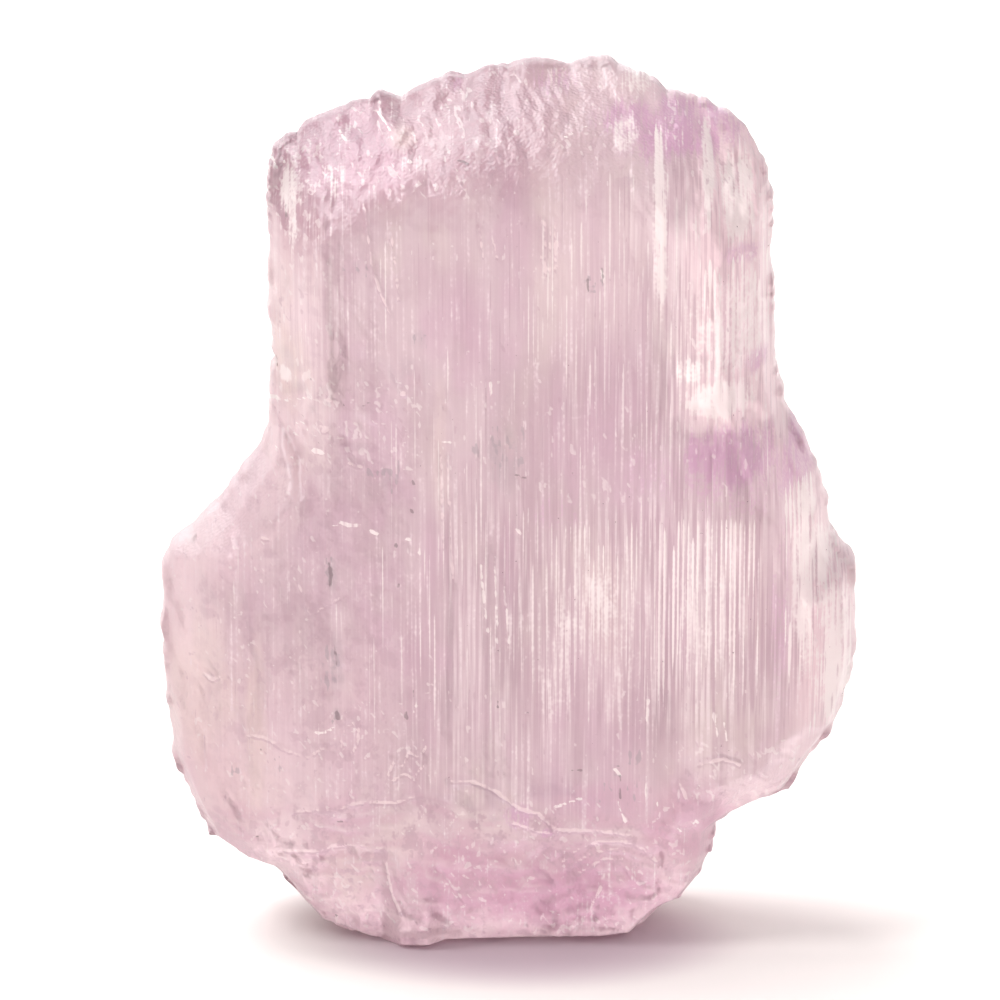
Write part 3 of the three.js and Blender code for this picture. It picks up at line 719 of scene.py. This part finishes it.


# ---- marks on the front, in picture pixels ----
# Strokes: half width, then across and down of each point of a line
# white slits and scratches, and painted glints
WHITE_AND_GLINT_STROKES = [
    (0.9, 272, 158, 277, 168), (0.9, 280, 155, 284, 162), (0.9, 339, 129, 345, 140, 351, 150),
    (0.9, 378, 112, 384, 121, 390, 131), (1.5, 409, 161, 410, 162), (1.2, 597, 99, 599, 100),
    (1, 564, 138, 576, 131, 589, 126), (1.2, 602, 270, 604, 284), (1.7, 270, 396, 276, 397, 282, 401),
    (1, 282, 401, 296, 399, 311, 398), (1.2, 294, 433, 299, 436.5, 305, 435),
    (1.1, 307, 431, 307, 426, 303, 422.5, 297, 423), (2.7, 314, 451, 322, 453), (1.2, 267, 443, 277, 447),
    (1.2, 287, 456, 295, 459), (1.5, 341, 523, 351, 526, 361, 526), (1.7, 370, 531, 377, 534),
    (1.3, 405, 539, 410, 540), (0.9, 326, 527, 334, 526, 341, 524), (0.8, 419, 512, 419, 566),
    (1, 481, 566, 484, 600, 488, 633), (0.9, 494, 556, 496, 600, 497, 645),
    (1, 504, 588, 507, 620, 509, 645), (0.9, 490, 382, 492, 409), (1.2, 442, 442, 451, 443),
    (1.3, 517, 530, 522, 535), (1.2, 312, 732, 319, 733.5, 326, 732, 333, 729, 338, 725),
    (1, 414, 714, 415, 707, 417.5, 700), (1.4, 615, 770, 618, 773, 620, 776),
    (1, 618, 801, 621, 812, 625.6, 822), (1.5, 555.7, 807, 566, 804, 575, 801, 581.6, 798.5),
    (1, 713.6, 713, 716, 726, 717.4, 738), (1, 724, 723, 727, 740), (1, 646.6, 721, 648.5, 700),
    (0.8, 645.7, 778, 645.7, 807), (0.8, 657, 803, 657, 813), (1.1, 674, 833, 677, 829, 681, 832),
    (1.1, 693, 824, 696, 821, 699, 824),
]
# pale strokes: along the crests of the break they are painted highlights on lit edges, elsewhere pale
# streaks
PALE_STROKES = [
    (0.9, 363, 202, 371.6, 264.6, 380, 293, 390, 315), (0.9, 390, 226, 395, 263, 398.6, 300),
    (0.9, 480, 229, 483, 258), (0.9, 492, 236, 497, 258), (0.8, 551, 64, 551, 94), (0.8, 556, 63, 556, 92),
    (0.8, 542, 219, 542, 287), (0.8, 546, 222, 546, 280), (0.8, 549.6, 226, 549.6, 287),
    (0.8, 555, 219, 555, 270), (0.8, 558, 240, 558, 287), (0.9, 441, 453, 442, 500, 443, 549),
    (0.9, 447.6, 459, 450, 520, 452.7, 579), (1.3, 348, 463, 361, 467), (1.4, 260, 537, 270, 540),
    (3.2, 321, 429, 327, 429), (1.8, 328, 400, 330, 400), (1.8, 402, 394, 404, 394),
    (0.9, 299, 584, 304, 600, 310, 615, 326, 606, 341, 598), (0.8, 325, 527, 325, 566),
    (1.1, 343, 750, 341, 738, 346, 727, 355, 723, 359, 731, 357, 745, 350, 756),
    (1.4, 246, 735, 262, 737, 273, 742.5, 282, 749, 301, 756, 310, 757, 323, 748),
    (1.1, 388, 776, 394, 762, 402, 768, 409, 752, 418, 758, 426, 747),
    (1.1, 392, 781, 404, 774, 413, 779, 424, 766),
    (1.4, 294, 812, 315, 810.5, 335, 810, 358.6, 803, 376, 802, 394, 803, 407, 799, 426, 794),
    (1.3, 280, 850, 300, 851, 319, 851, 332, 846, 345, 845, 358.6, 845, 372, 847, 383.6, 849),
    (1.1, 384, 850, 388, 875, 393, 896, 401, 914),
    (1.6, 451.5, 782, 474, 782, 497, 792, 507, 801, 520, 809, 539.5, 815, 555, 830, 583.5, 831, 608, 832,
      631, 836),
    (1.3, 512.7, 823, 539.5, 832, 555, 834),
    (1.2, 562, 862.6, 578, 849, 599, 841.6, 624, 841.6, 643, 849, 656, 861),
    (1.1, 570, 866, 593, 853, 612, 849, 631, 853), (1.1, 578, 874, 603, 859, 622, 859),
    (1.8, 591, 907, 596, 897, 601, 887), (1.2, 680, 784, 687, 799.5), (1.3, 698, 765, 723, 759, 740, 765),
    (1.3, 203, 672, 212, 680, 222, 676),
]
DARK_STROKES = [
    (0.7, 286, 205, 286, 229), (1.1, 458, 161, 464, 163, 469, 166), (0.8, 587, 278, 588.5, 292),
    (0.8, 602, 268, 603.5, 276, 603, 283), (0.6, 501, 242, 501, 248), (0.8, 310, 380, 310, 390),
    (0.8, 298, 412, 306, 420), (0.8, 317, 442, 323, 448), (0.8, 361, 408, 371.5, 402),
    (0.9, 343, 405, 344, 406), (1.5, 395.5, 545, 396, 547), (1.4, 398, 585, 398, 588),
    (1, 412, 481, 414, 485), (1.2, 411, 511, 413, 513), (1.3, 329, 564, 331, 577, 330, 588),
    (0.7, 330.5, 588, 331, 600), (2.1, 336, 713, 338, 719), (1, 302, 755, 304, 756),
    (1.6, 406, 714, 406.8, 719), (0.9, 413, 691, 413, 698), (1.1, 619.8, 776, 619.5, 787, 620, 799.5),
    (0.8, 498, 702, 498, 708.6), (1, 527, 712, 528, 714), (1, 384, 926, 384, 928),
    (0.9, 257, 837, 258, 837), (0.9, 376, 801, 377, 801), (0.9, 362, 807, 363, 807),
    (0.7, 337, 822, 342, 822), (0.9, 261, 750, 261, 751), (0.9, 318, 747, 319, 747),
    (0.9, 344, 839, 344, 840), (0.9, 395, 821, 395, 822), (0.9, 310, 907, 310, 908),
    (0.9, 333, 916, 337, 916), (0.9, 689, 776, 689, 777), (0.9, 694, 785, 694, 786),
    (0.9, 700, 794, 700, 795), (0.8, 572, 771, 582, 771), (0.8, 614, 766, 622, 766),
    (1, 515, 476, 525, 478), (0.9, 335, 645, 336, 668),
]
# Patches of short upright hairs: across from, to, down from, to, how many, half width, length.
HAIR_PATCHES = [
    (491, 525, 422, 480, 30, 0.7, 14), (471, 481, 444, 455, 8, 0.9, 8), (368, 396, 468, 492, 18, 0.8, 7),
    (326, 341, 640, 690, 20, 0.9, 20), (318, 338, 655, 684, 14, 0.8, 10), (274, 281, 748, 776, 4, 1.3, 12),
    (231, 238, 762, 778, 4, 1.4, 8), (384, 399, 450, 496, 6, 1.1, 8), (629, 641, 746, 763, 5, 1.1, 10),
    (328, 378, 265, 274, 12, 0.8, 6), (413, 426, 335, 348, 8, 0.9, 6), (600, 640, 770, 800, 10, 0.7, 12),
    (584, 606, 268, 294, 8, 0.8, 9), (325, 333, 556, 590, 9, 0.8, 12), (332, 341, 708, 724, 8, 0.9, 6),
]
# Patches of flecks: across from, to, down from, to, how many, half width, length, sideways slant.
# painted highlights on the small lit crests of the etched surface
HIGHLIGHT_FLECKS = [
    (262, 330, 130, 215, 96, 0.8, 7, 3), (300, 470, 95, 190, 144, 0.8, 5, 4),
    (450, 620, 62, 150, 176, 0.8, 5, 4), (600, 760, 95, 150, 80, 0.7, 5, 3),
    (262, 345, 215, 390, 112, 0.7, 9, 1), (350, 620, 150, 200, 64, 0.7, 4, 3),
    (268, 420, 380, 470, 176, 0.8, 5, 5), (175, 330, 480, 700, 144, 0.7, 5, 4),
    (190, 420, 700, 800, 144, 0.8, 5, 5), (250, 480, 800, 930, 176, 0.8, 5, 6),
    (450, 700, 800, 930, 208, 0.8, 6, 6), (690, 800, 740, 800, 80, 0.8, 5, 5),
    (420, 640, 380, 500, 112, 0.6, 8, 1), (590, 770, 420, 500, 96, 0.6, 8, 1),
    (800, 850, 530, 680, 96, 0.9, 6, 3), (690, 775, 160, 380, 128, 0.8, 8, 2),
    (420, 760, 690, 800, 128, 0.6, 6, 2), (350, 560, 200, 420, 80, 0.6, 6, 2),
    (250, 420, 400, 560, 40, 0.8, 6, 4), (230, 440, 640, 800, 40, 0.8, 6, 5),
    (822, 852, 545, 680, 60, 1.1, 9, 2),
]
SHADE_FLECKS = [
    (262, 345, 140, 390, 112, 0.7, 7, 2), (300, 620, 70, 170, 176, 0.8, 5, 4),
    (600, 770, 95, 180, 96, 0.8, 6, 3), (268, 420, 380, 480, 144, 0.8, 5, 4),
    (175, 400, 480, 800, 176, 0.7, 6, 3), (250, 700, 800, 930, 208, 0.8, 6, 6),
    (690, 800, 740, 800, 48, 0.8, 5, 5), (350, 650, 180, 500, 144, 0.6, 7, 1),
    (420, 760, 680, 800, 96, 0.6, 7, 1), (680, 850, 280, 690, 96, 0.7, 7, 2),
]
LIT_SIDE = np.array([-0.44, 0.1, 0.89])    # the way, towards the lamps, that the slopes given painted shade face
CREST_SHADE = 2.6            # how far below a pale crest its shaded side lies
MARK_REACH = 5               # how far the field of a stroke reaches past its border, in pixels


def camera_place():
    return CAMERA_TARGET + CAMERA_DISTANCE * np.array([0, -math.cos(CAMERA_RISE), math.sin(CAMERA_RISE)])


def in_picture(points):
    """Where points in millimetres lie in the picture, in pixels across and down."""
    offset = points - camera_place()
    away = offset[:, 1] * math.cos(CAMERA_RISE) - offset[:, 2] * math.sin(CAMERA_RISE)
    up = offset[:, 1] * math.sin(CAMERA_RISE) + offset[:, 2] * math.cos(CAMERA_RISE)
    scale = PICTURE * CAMERA_LENS / SENSOR / away
    return PICTURE / 2 + offset[:, 0] * scale, PICTURE / 2 - up * scale


def make_hairs(patches, seed):
    random = np.random.default_rng(seed)
    hairs = []
    for left, right, top, bottom, count, half, length in patches:
        for _ in range(count):
            across = random.uniform(left, right)
            start = random.uniform(top, bottom - length * 0.5)
            end = start + length * random.uniform(0.4, 1.2)
            wide = half * random.uniform(0.6, 1.3)
            hairs.append((wide, across, start, across + random.uniform(-1, 1), end))
    return hairs


def make_flecks(patches, seed):
    """Short strokes, upright or slanting by up to the given number of pixels."""
    random = np.random.default_rng(seed)
    flecks = []
    for left, right, top, bottom, count, half, length, slant in patches:
        for _ in range(count):
            across, down = random.uniform(left, right), random.uniform(top, bottom)
            run, drop = random.uniform(-slant, slant), length * random.uniform(0.2, 1.2)
            flecks.append((half * random.uniform(0.5, 1.4), across, down, across + run, down + drop))
    return flecks


STROKES = {
    "highlight_fleck": make_flecks(HIGHLIGHT_FLECKS, 21),
    "shade_fleck": make_flecks(SHADE_FLECKS, 22),
    "white_mark_and_glint": WHITE_AND_GLINT_STROKES,
    "pale_mark": PALE_STROKES,
    "dark_mark": DARK_STROKES,
    "grey_mark": make_hairs(HAIR_PATCHES, 11),
}
STROKE_HEIGHTS = {
    "highlight_fleck": 0.04, "shade_fleck": -0.04, "white_mark_and_glint": 0.07, "pale_mark": 0.13, "dark_mark": -0.06,
}


def stroke_field(strokes, across, down):
    """A field that passes 0.5 at the border of each stroke and rises inside it."""
    total = np.zeros(len(across))
    uneven = 0.9 * hills(across, down, 6, 6, 260) + 0.6 * hills(across, down, 2.5, 2.5, 261)
    for half, *places in strokes:
        points = np.reshape(places, (-1, 2))
        low, high = points.min(axis=0) - 12, points.max(axis=0) + 12
        near = np.flatnonzero((across > low[0]) & (across < high[0]) & (down > low[1]) & (down < high[1]))
        gap = distance_to_line(points, across[near], down[near]) + uneven[near]
        total[near] = np.maximum(total[near], 0.5 + (half - gap) / (2 * MARK_REACH))
    return np.clip(total, 0, 1)


# Colours, linear red, green, blue and alpha
PINK = (0.54, 0.395, 0.435, 1)
PALE = (0.66, 0.52, 0.555, 1)
DEEP = (0.44, 0.285, 0.345, 1)
# painted light: the paler colour of thin parts that light shines through
PAINTED_GLOW = (0.96, 0.74, 0.77, 1)
# painted light: the paler colour of the light zones
PAINTED_LIGHT = (0.86, 0.70, 0.725, 1)
VIOLET = (0.56, 0.27, 0.47, 1)
STRAW = (0.68, 0.60, 0.54, 1)
LILAC = (0.60, 0.37, 0.49, 1)
MAGENTA = (0.58, 0.28, 0.41, 1)
# painted shade for the upper left slopes that face the lamps
PAINTED_SLOPE_SHADE = (0.41, 0.205, 0.265, 1)
CREAM = (0.80, 0.66, 0.58, 1)
# white of the veils, and of painted highlights and glints
WHITE_AND_HIGHLIGHT = (1.0, 0.95, 0.91, 1)
PALE_STREAK = (0.86, 0.76, 0.76, 1)
GREY = (0.33, 0.28, 0.31, 1)
# painted highlight, for lit crests
CREST_HIGHLIGHT = (1.0, 0.86, 0.84, 1)
DARK = (0.10, 0.06, 0.07, 1)
FLOOR = (0.77, 0.72, 0.70, 1)
FLOOR_PAINTED_SHADOW = (0.48, 0.36, 0.42, 1)       # painted shadow: the floor close to the crystal, darkened and tinted pink as by light through the crystal
SHADE_MIDDLE = (0.0010, -0.0035)         # middle of that patch of floor, in metres
SHADE_FADE = (85, 125)                   # how fast it fades along x and y, per metre
SHADE_BORDER = 1.3                       # where it ends, in squares of the faded distance
SHADE_CORE = 0.15                        # where it is full
SHADE_STRENGTH = 0.8
SURFACE_TONE = 0.955                     # share of light that the whole surface keeps


def tint(x, z, masks):
    """The broad colour of the surface, before its fine texture and its marks."""
    tone = 0.5 + 0.3 * hills(x, z, 1.3, 16, 300) + 0.3 * hills(x, z, 2.4, 3.0, 301)
    hue = 0.35 * hills(x, z, 2.2, 6.0, 304) + 0.25 * hills(x, z, 0.9, 1.6, 305)
    strand = hills(x, z, 0.42, 9.0, 306, True) * masks["busy"]
    layers = [
        (PALE, smooth(tone, 0.3, 0.7)), (PALE, 0.3 * smooth(strand, 0, 0.5)),
        (DEEP, 0.25 * smooth(-strand, 0, 0.5)),
        (STRAW, 0.45 * smooth(hue, 0, 0.4)), (LILAC, 0.45 * smooth(-hue, 0, 0.4)),
        # painted light, painted glow through thin parts, and painted shade on the slopes that face the lamps
        (PAINTED_LIGHT, 0.8 * masks["light"]), (PAINTED_GLOW, 0.75 * masks["thin"]), (PAINTED_SLOPE_SHADE, 0.95 * masks["top"]),
        (MAGENTA, 0.95 * masks["magenta"]), (CREAM, 0.7 * masks["cream"]),
        (GREY, 0.4 * masks["grey"] * smooth(masks["patch"] + strand, 0.2, 0.8)),
        # painted highlight on the crests of the break and painted shade in its furrows
        (CREST_HIGHLIGHT, 0.22 * masks["crest"]), (MAGENTA, 0.3 * masks["furrow"]),
    ]
    colour = np.tile(PINK[:3], (len(x), 1))
    for layer, share in layers:
        colour = mix(colour, np.array(layer[:3]), share[:, None])
    return SURFACE_TONE * colour


# Vertex attributes of the crystal, each with the two or three fields that it carries
PACKED = {
    "surface": ("patch", "etch", "streaky"),
    "zones": ("violet", "white_and_sheen", "crumbly"),
    "lines": ("highlight_line", "faint_highlight_line", "shade_line"),
    "marks": ("pale_mark", "dark_mark", "grey_mark"),
    "flecks": ("highlight_fleck", "shade_fleck"),
}


def add_fields(mesh, name, fields):
    """Adds a vertex attribute that holds up to three fields."""
    table = np.zeros((len(mesh.vertices), 3), dtype=np.float32)
    for column, field in enumerate(fields):
        table[:, column] = field
    mesh.attributes.new(name, "FLOAT_VECTOR", "POINT").data.foreach_set("vector", table.ravel())


def add_object(name, data):
    added = bpy.data.objects.new(name, data)
    bpy.context.scene.collection.objects.link(added)
    return added


def add_strokes(points, in_front):
    """Raises or sinks the surface at the strokes, and returns the field of each kind of stroke."""
    across, down = in_picture(points)
    fields = {name: stroke_field(strokes, across, down) for name, strokes in STROKES.items()}
    for name, height in STROKE_HEIGHTS.items():
        points[:, 1] -= height * smooth(fields[name], 0.25, 0.6) * in_front
    crest_shade = stroke_field(PALE_STROKES, across, down - CREST_SHADE)
    fields["shade_fleck"] = np.maximum(fields["shade_fleck"], crest_shade)
    return fields


def thin_places(x, z):
    """Painted light: paler colour where the crystal is thin, or looks it, as if lit through: along its
    edges, at the right, which the lamps from the left reach less, and towards both ends.
    """
    near_edge = smooth(-distance_to_line(OUTLINE, x, z), -4.5, 0) * (1 - 0.75 * smooth(z, 42, 46))
    right_side = 0.9 * smooth(x, 9.3, 11.3) * smooth(z, 29, 32)
    right_side = right_side + 0.7 * smooth(x, 15, 17.5) * smooth(z, 10, 14)
    left_middle = 0.3 * smooth(-x, 5, 8) * smooth(z, 8, 12) * smooth(-z, -21, -15)
    ends = 0.45 * smooth(-z, -10.5, -5.5) + 0.2 * smooth(z, 44, 48.5)
    return np.minimum(1, near_edge + right_side + left_middle + ends)


def surface_masks(x, z, in_front, normals, strokes):
    """What the colours of the surface depend on, one value at each vertex."""
    masks = {name: zone_strength(name, x, z) * in_front for name in ZONES}
    masks["white_and_sheen"] = zone_strength("white_and_sheen", x, z)
    base = below_break(x, z)
    ridges = shell_ridges(x, z)
    masks["etch"] = np.maximum(front_etch(x, z), base)
    masks["busy"] = (1 - 0.6 * calm(x, z)) * (1 - 0.8 * base)
    # painted highlight on the crests of the break, painted shade in its furrows
    masks["crest"] = base * smooth(ridges, 0.1, 0.8) * in_front
    masks["furrow"] = base * smooth(-ridges, -0.1, 0.7) * in_front
    upper_left = smooth(z, 37, 41) * smooth(-x, -8, 3)
    # painted shade: the upper left slopes that face the lamps are coloured darker
    masks["top"] = smooth(normals @ LIT_SIDE, 0, 0.75) * upper_left
    masks["patch"] = 0.5 + 0.3 * hills(x, z, 0.9, 1.1, 302) + 0.2 * crumbs(x, z, 0.5, 0.6, 303)
    # painted light: paler where light would shine through thin parts
    masks["thin"] = thin_places(x, z)
    clear = (1 - 0.6 * masks["light"]) * (1 - 0.5 * masks["thin"]) * (1 - 0.5 * masks["magenta"])
    streaky = 0.3 * masks["busy"] * clear * (1 - 0.7 * masks["etch"])
    masks["streaky"] = streaky + 0.5 * lined_strength(x, z)
    masks["crumbly"] = (0.15 + 0.45 * masks["etch"]) * clear + 0.15 * base
    for name, lines in LINES.items():
        masks[name] = line_field(lines, x, z) * in_front
    for name, field in strokes.items():
        masks[name] = field * in_front
    # white slits and painted glints join the painted highlight lines
    masks["highlight_line"] = np.maximum(masks["highlight_line"], masks["white_mark_and_glint"])
    return masks


def make_crystal():
    points, faces = crystal_mesh()
    x, z = points[:, 0], points[:, 2]
    in_front = smooth(-points[:, 1], -2, 0.3)
    fitted = fit_to_part(points)
    strokes = add_strokes(fitted, in_front)
    fitted = fit_to_part(fitted)
    mesh = bpy.data.meshes.new("crystal_grown")
    mesh.from_pydata((fitted * MM).tolist(), [], faces)
    mesh.shade_smooth()

    normals = np.zeros(3 * len(x), dtype=np.float32)
    mesh.vertex_normals.foreach_get("vector", normals)
    masks = surface_masks(x, z, in_front, normals.reshape(-1, 3), strokes)
    add_fields(mesh, "tint", tint(x, z, masks).T)
    for name, fields in PACKED.items():
        add_fields(mesh, name, [masks[field] for field in fields])
    return add_object("crystal_grown", mesh)


# ---- materials ----
class Graph:
    """Short calls for the nodes that the materials use."""

    def __init__(self, nodes, links):
        self.nodes, self.links = nodes, links

    def feed(self, socket, value):
        if isinstance(value, bpy.types.NodeSocket):
            self.links.new(value, socket)
        else:
            socket.default_value = value

    def maths(self, operation, a, b):
        node = self.nodes.new("ShaderNodeMath")
        node.operation = operation
        self.feed(node.inputs[0], a)
        self.feed(node.inputs[1], b)
        return node.outputs[0]

    def plus(self, a, b):
        return self.maths("ADD", a, b)

    def times(self, a, b):
        return self.maths("MULTIPLY", a, b)

    def noise(self, cell, detail, shift):
        """Noise whose hills are about cell (x, y, z) millimetres across."""
        place = self.nodes.new("ShaderNodeTexCoord").outputs["Object"]
        mapping = self.nodes.new("ShaderNodeMapping")
        mapping.inputs["Scale"].default_value = [1 / (size * MM) for size in cell]
        mapping.inputs["Location"].default_value = (shift, shift * 0.7, shift * 1.3)
        self.links.new(place, mapping.inputs["Vector"])
        noise = self.nodes.new("ShaderNodeTexNoise")
        noise.inputs["Scale"].default_value = 1.0
        noise.inputs["Detail"].default_value = detail
        self.links.new(mapping.outputs["Vector"], noise.inputs["Vector"])
        return noise.outputs["Fac"]

    def attribute(self, name):
        node = self.nodes.new("ShaderNodeAttribute")
        node.attribute_name = name
        return node.outputs["Vector"]

    def parts(self, vector):
        node = self.nodes.new("ShaderNodeSeparateXYZ")
        self.links.new(vector, node.inputs["Vector"])
        return node.outputs

    def between(self, value, low, high, top=1.0):
        """From 0 to top as the value goes from low to high."""
        node = self.nodes.new("ShaderNodeMapRange")
        node.interpolation_type = "SMOOTHSTEP"
        self.feed(node.inputs["Value"], value)
        node.inputs["From Min"].default_value = low
        node.inputs["From Max"].default_value = high
        node.inputs["To Max"].default_value = top
        return node.outputs["Result"]

    def blend(self, share, first, second):
        node = self.nodes.new("ShaderNodeMix")
        node.data_type = "RGBA"
        self.feed(node.inputs["Factor"], share)
        self.feed(node.inputs["A"], first)
        self.feed(node.inputs["B"], second)
        return node.outputs["Result"]


def new_material(name):
    """A material with a Principled shader, and its graph, shader and output node."""
    material = bpy.data.materials.new(name)
    material.use_nodes = True
    nodes, links = material.node_tree.nodes, material.node_tree.links
    nodes.clear()
    output = nodes.new("ShaderNodeOutputMaterial")
    shader = nodes.new("ShaderNodeBsdfPrincipled")
    links.new(shader.outputs["BSDF"], output.inputs["Surface"])
    return material, Graph(nodes, links), shader, output


IOR = 1.66
CLEAR = 0.7                  # share of the light that passes the surface
ABSORBED = (0.80, 0.52, 0.65, 1)
ABSORPTION = 9               # per metre
SMOOTHEST = 0.26             # roughness of the glassy places
GRAIN_HEIGHT = 0.00005       # of the frosting, in metres


def surface_colour(graph, field, fine, grain):
    """The tint under streaks, crumbs, zones and marks, each layer over the ones before it."""
    times, plus, between = graph.times, graph.plus, graph.between
    crumbled = plus(field["patch"], times(grain, 0.5))
    texture = plus(times(fine, 1.6), times(plus(field["patch"], grain), 0.6))
    border = times(grain, 0.06)
    uneven = between(fine, 0.25, 0.6)

    def zone(name, low, high, strength):
        """A named zone with borders broken up by the fine texture."""
        return between(plus(field[name], texture), low, high, strength)

    def sharp(name, strength):
        """The inside of the lines or strokes that a field holds."""
        return between(plus(field[name], border), 0.49, 0.57, strength)

    layers = [
        (times(between(fine, 0.49, 0.38), field["streaky"]), DEEP),
        (times(between(fine, 0.53, 0.65), field["streaky"]), PALE_STREAK),
        (times(between(crumbled, 0.85, 1.1), field["crumbly"]), PALE),
        (times(between(crumbled, 0.68, 0.4), field["crumbly"]), DEEP),
        (zone("violet", 1.6, 2.5, 0.85), VIOLET),
        # white veils and painted sheen
        (zone("white_and_sheen", 1.6, 2.3, 0.9), WHITE_AND_HIGHLIGHT),
        (sharp("shade_line", 0.55), DEEP),
        # painted highlights along the grooves
        (times(sharp("faint_highlight_line", 0.75), uneven), WHITE_AND_HIGHLIGHT),
        (times(sharp("highlight_line", 1.0), plus(uneven, 0.4)), WHITE_AND_HIGHLIGHT),
        (sharp("shade_fleck", 0.45), DEEP),
        # painted highlights on small crests
        (sharp("highlight_fleck", 0.42), WHITE_AND_HIGHLIGHT),
        (sharp("grey_mark", 0.65), GREY),
        # painted highlight on lit crest edges, and pale streaks
        (times(sharp("pale_mark", 0.6), between(crumbled, 0.4, 0.75)), CREST_HIGHLIGHT),
        (sharp("dark_mark", 0.7), DARK),
    ]
    colour = graph.attribute("tint")
    for share, layer in layers:
        colour = graph.blend(share, colour, layer)
    return colour


def kunzite_material():
    material, graph, shader, output = new_material("kunzite")
    times, plus = graph.times, graph.plus
    field = {}
    for packed, names in PACKED.items():
        field.update(zip(names, graph.parts(graph.attribute(packed))))
    fine = graph.noise((0.16, 3.0, 6.0), 1, 3)
    grain = graph.noise((0.17, 0.17, 0.20), 0, 13)
    graph.feed(shader.inputs["Base Color"], surface_colour(graph, field, fine, grain))

    rough = plus(times(field["etch"], 0.08), times(grain, 0.12))
    graph.feed(shader.inputs["Roughness"], plus(rough, SMOOTHEST))

    bump = graph.nodes.new("ShaderNodeBump")
    bump.inputs["Strength"].default_value = 1.0
    bump.inputs["Distance"].default_value = GRAIN_HEIGHT
    graph.feed(bump.inputs["Height"], times(grain, plus(times(field["etch"], 0.5), 0.15)))
    graph.feed(shader.inputs["Normal"], bump.outputs["Normal"])

    shader.inputs["IOR"].default_value = IOR
    shader.inputs["Transmission Weight"].default_value = CLEAR
    volume = graph.nodes.new("ShaderNodeVolumeAbsorption")
    volume.inputs["Color"].default_value = ABSORBED
    volume.inputs["Density"].default_value = ABSORPTION
    graph.feed(output.inputs["Volume"], volume.outputs["Volume"])
    return material


def floor_material():
    material, graph, shader, _ = new_material("pale_floor")
    place = graph.parts(graph.nodes.new("ShaderNodeTexCoord").outputs["Object"])
    # painted shadow: a darker, pinker patch of floor round the crystal's foot
    offsets = [
        graph.times(graph.plus(place[axis], -SHADE_MIDDLE[axis]), SHADE_FADE[axis])
        for axis in (0, 1)
    ]
    away = graph.plus(*[graph.times(offset, offset) for offset in offsets])
    near = graph.between(away, SHADE_BORDER, SHADE_CORE, SHADE_STRENGTH)
    graph.feed(shader.inputs["Base Color"], graph.blend(near, FLOOR, FLOOR_PAINTED_SHADOW))
    shader.inputs["Roughness"].default_value = 0.9
    return material


# ---- floor, light and camera ----
FLOOR_HALF = 1.5             # half the width of the floor, in metres
FLOOR_DROP = 0.03            # how far it lies below the foot, in millimetres
WORLD_LIGHT = 0.98


def make_floor():
    mesh = bpy.data.meshes.new("floor")
    corners = [(-1, -1), (1, -1), (1, 1), (-1, 1)]
    places = [(FLOOR_HALF * x, FLOOR_HALF * y, -FLOOR_DROP * MM) for x, y in corners]
    mesh.from_pydata(places, [], [(0, 1, 2, 3)])
    mesh.materials.append(floor_material())
    floor = add_object("floor", mesh)
    floor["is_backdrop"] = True


def add_lamp(name, kind, energy, place, toward=(0, 0, 0.025)):
    """A lamp at a place in metres, aimed at a point of the crystal."""
    light = bpy.data.lights.new(name, kind)
    light.energy = energy
    lamp = add_object(name, light)
    lamp.location = place
    lamp.rotation_euler = (Vector(toward) - Vector(place)).to_track_quat("-Z", "Y").to_euler()
    return light


def make_lights():
    world = bpy.data.worlds.new("studio")
    bpy.context.scene.world = world
    world.use_nodes = True
    background = world.node_tree.nodes["Background"]
    background.inputs["Color"].default_value = (1, 1, 1, 1)
    background.inputs["Strength"].default_value = WORLD_LIGHT
    overhead = add_lamp("overhead", "SUN", 2.4, (-0.38, 0.28, 0.9), (0, 0, 0))
    overhead.angle = math.radians(40)
    key = add_lamp("key", "SUN", 1.0, (-0.55, -0.3, 0.8), (0, 0, 0))
    key.angle = math.radians(15)
    panel = add_lamp("back_panel", "AREA", 0.8, (-0.1, 0.45, 0.2))
    panel.shape = "RECTANGLE"
    panel.size, panel.size_y = 0.5, 0.3


def make_camera():
    camera = bpy.data.cameras.new("camera")
    camera.lens = CAMERA_LENS
    camera.sensor_width = SENSOR
    camera.clip_start = 0.01
    holder = add_object("camera", camera)
    holder.location = Vector(camera_place() * MM)
    holder.rotation_euler = (math.pi / 2 - CAMERA_RISE, 0, 0)
    bpy.context.scene.camera = holder


make_camera()
crystal = make_crystal()
crystal.data.materials.append(kunzite_material())
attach(crystal, "root")
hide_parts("crystal")
make_floor()
make_lights()
bpy.context.scene.view_settings.view_transform = "Standard"

plain = lambda box: [[round(float(value), 6) for value in corner] for corner in box]
{"cad": plain(cad_bounds), "visual": plain(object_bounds())}
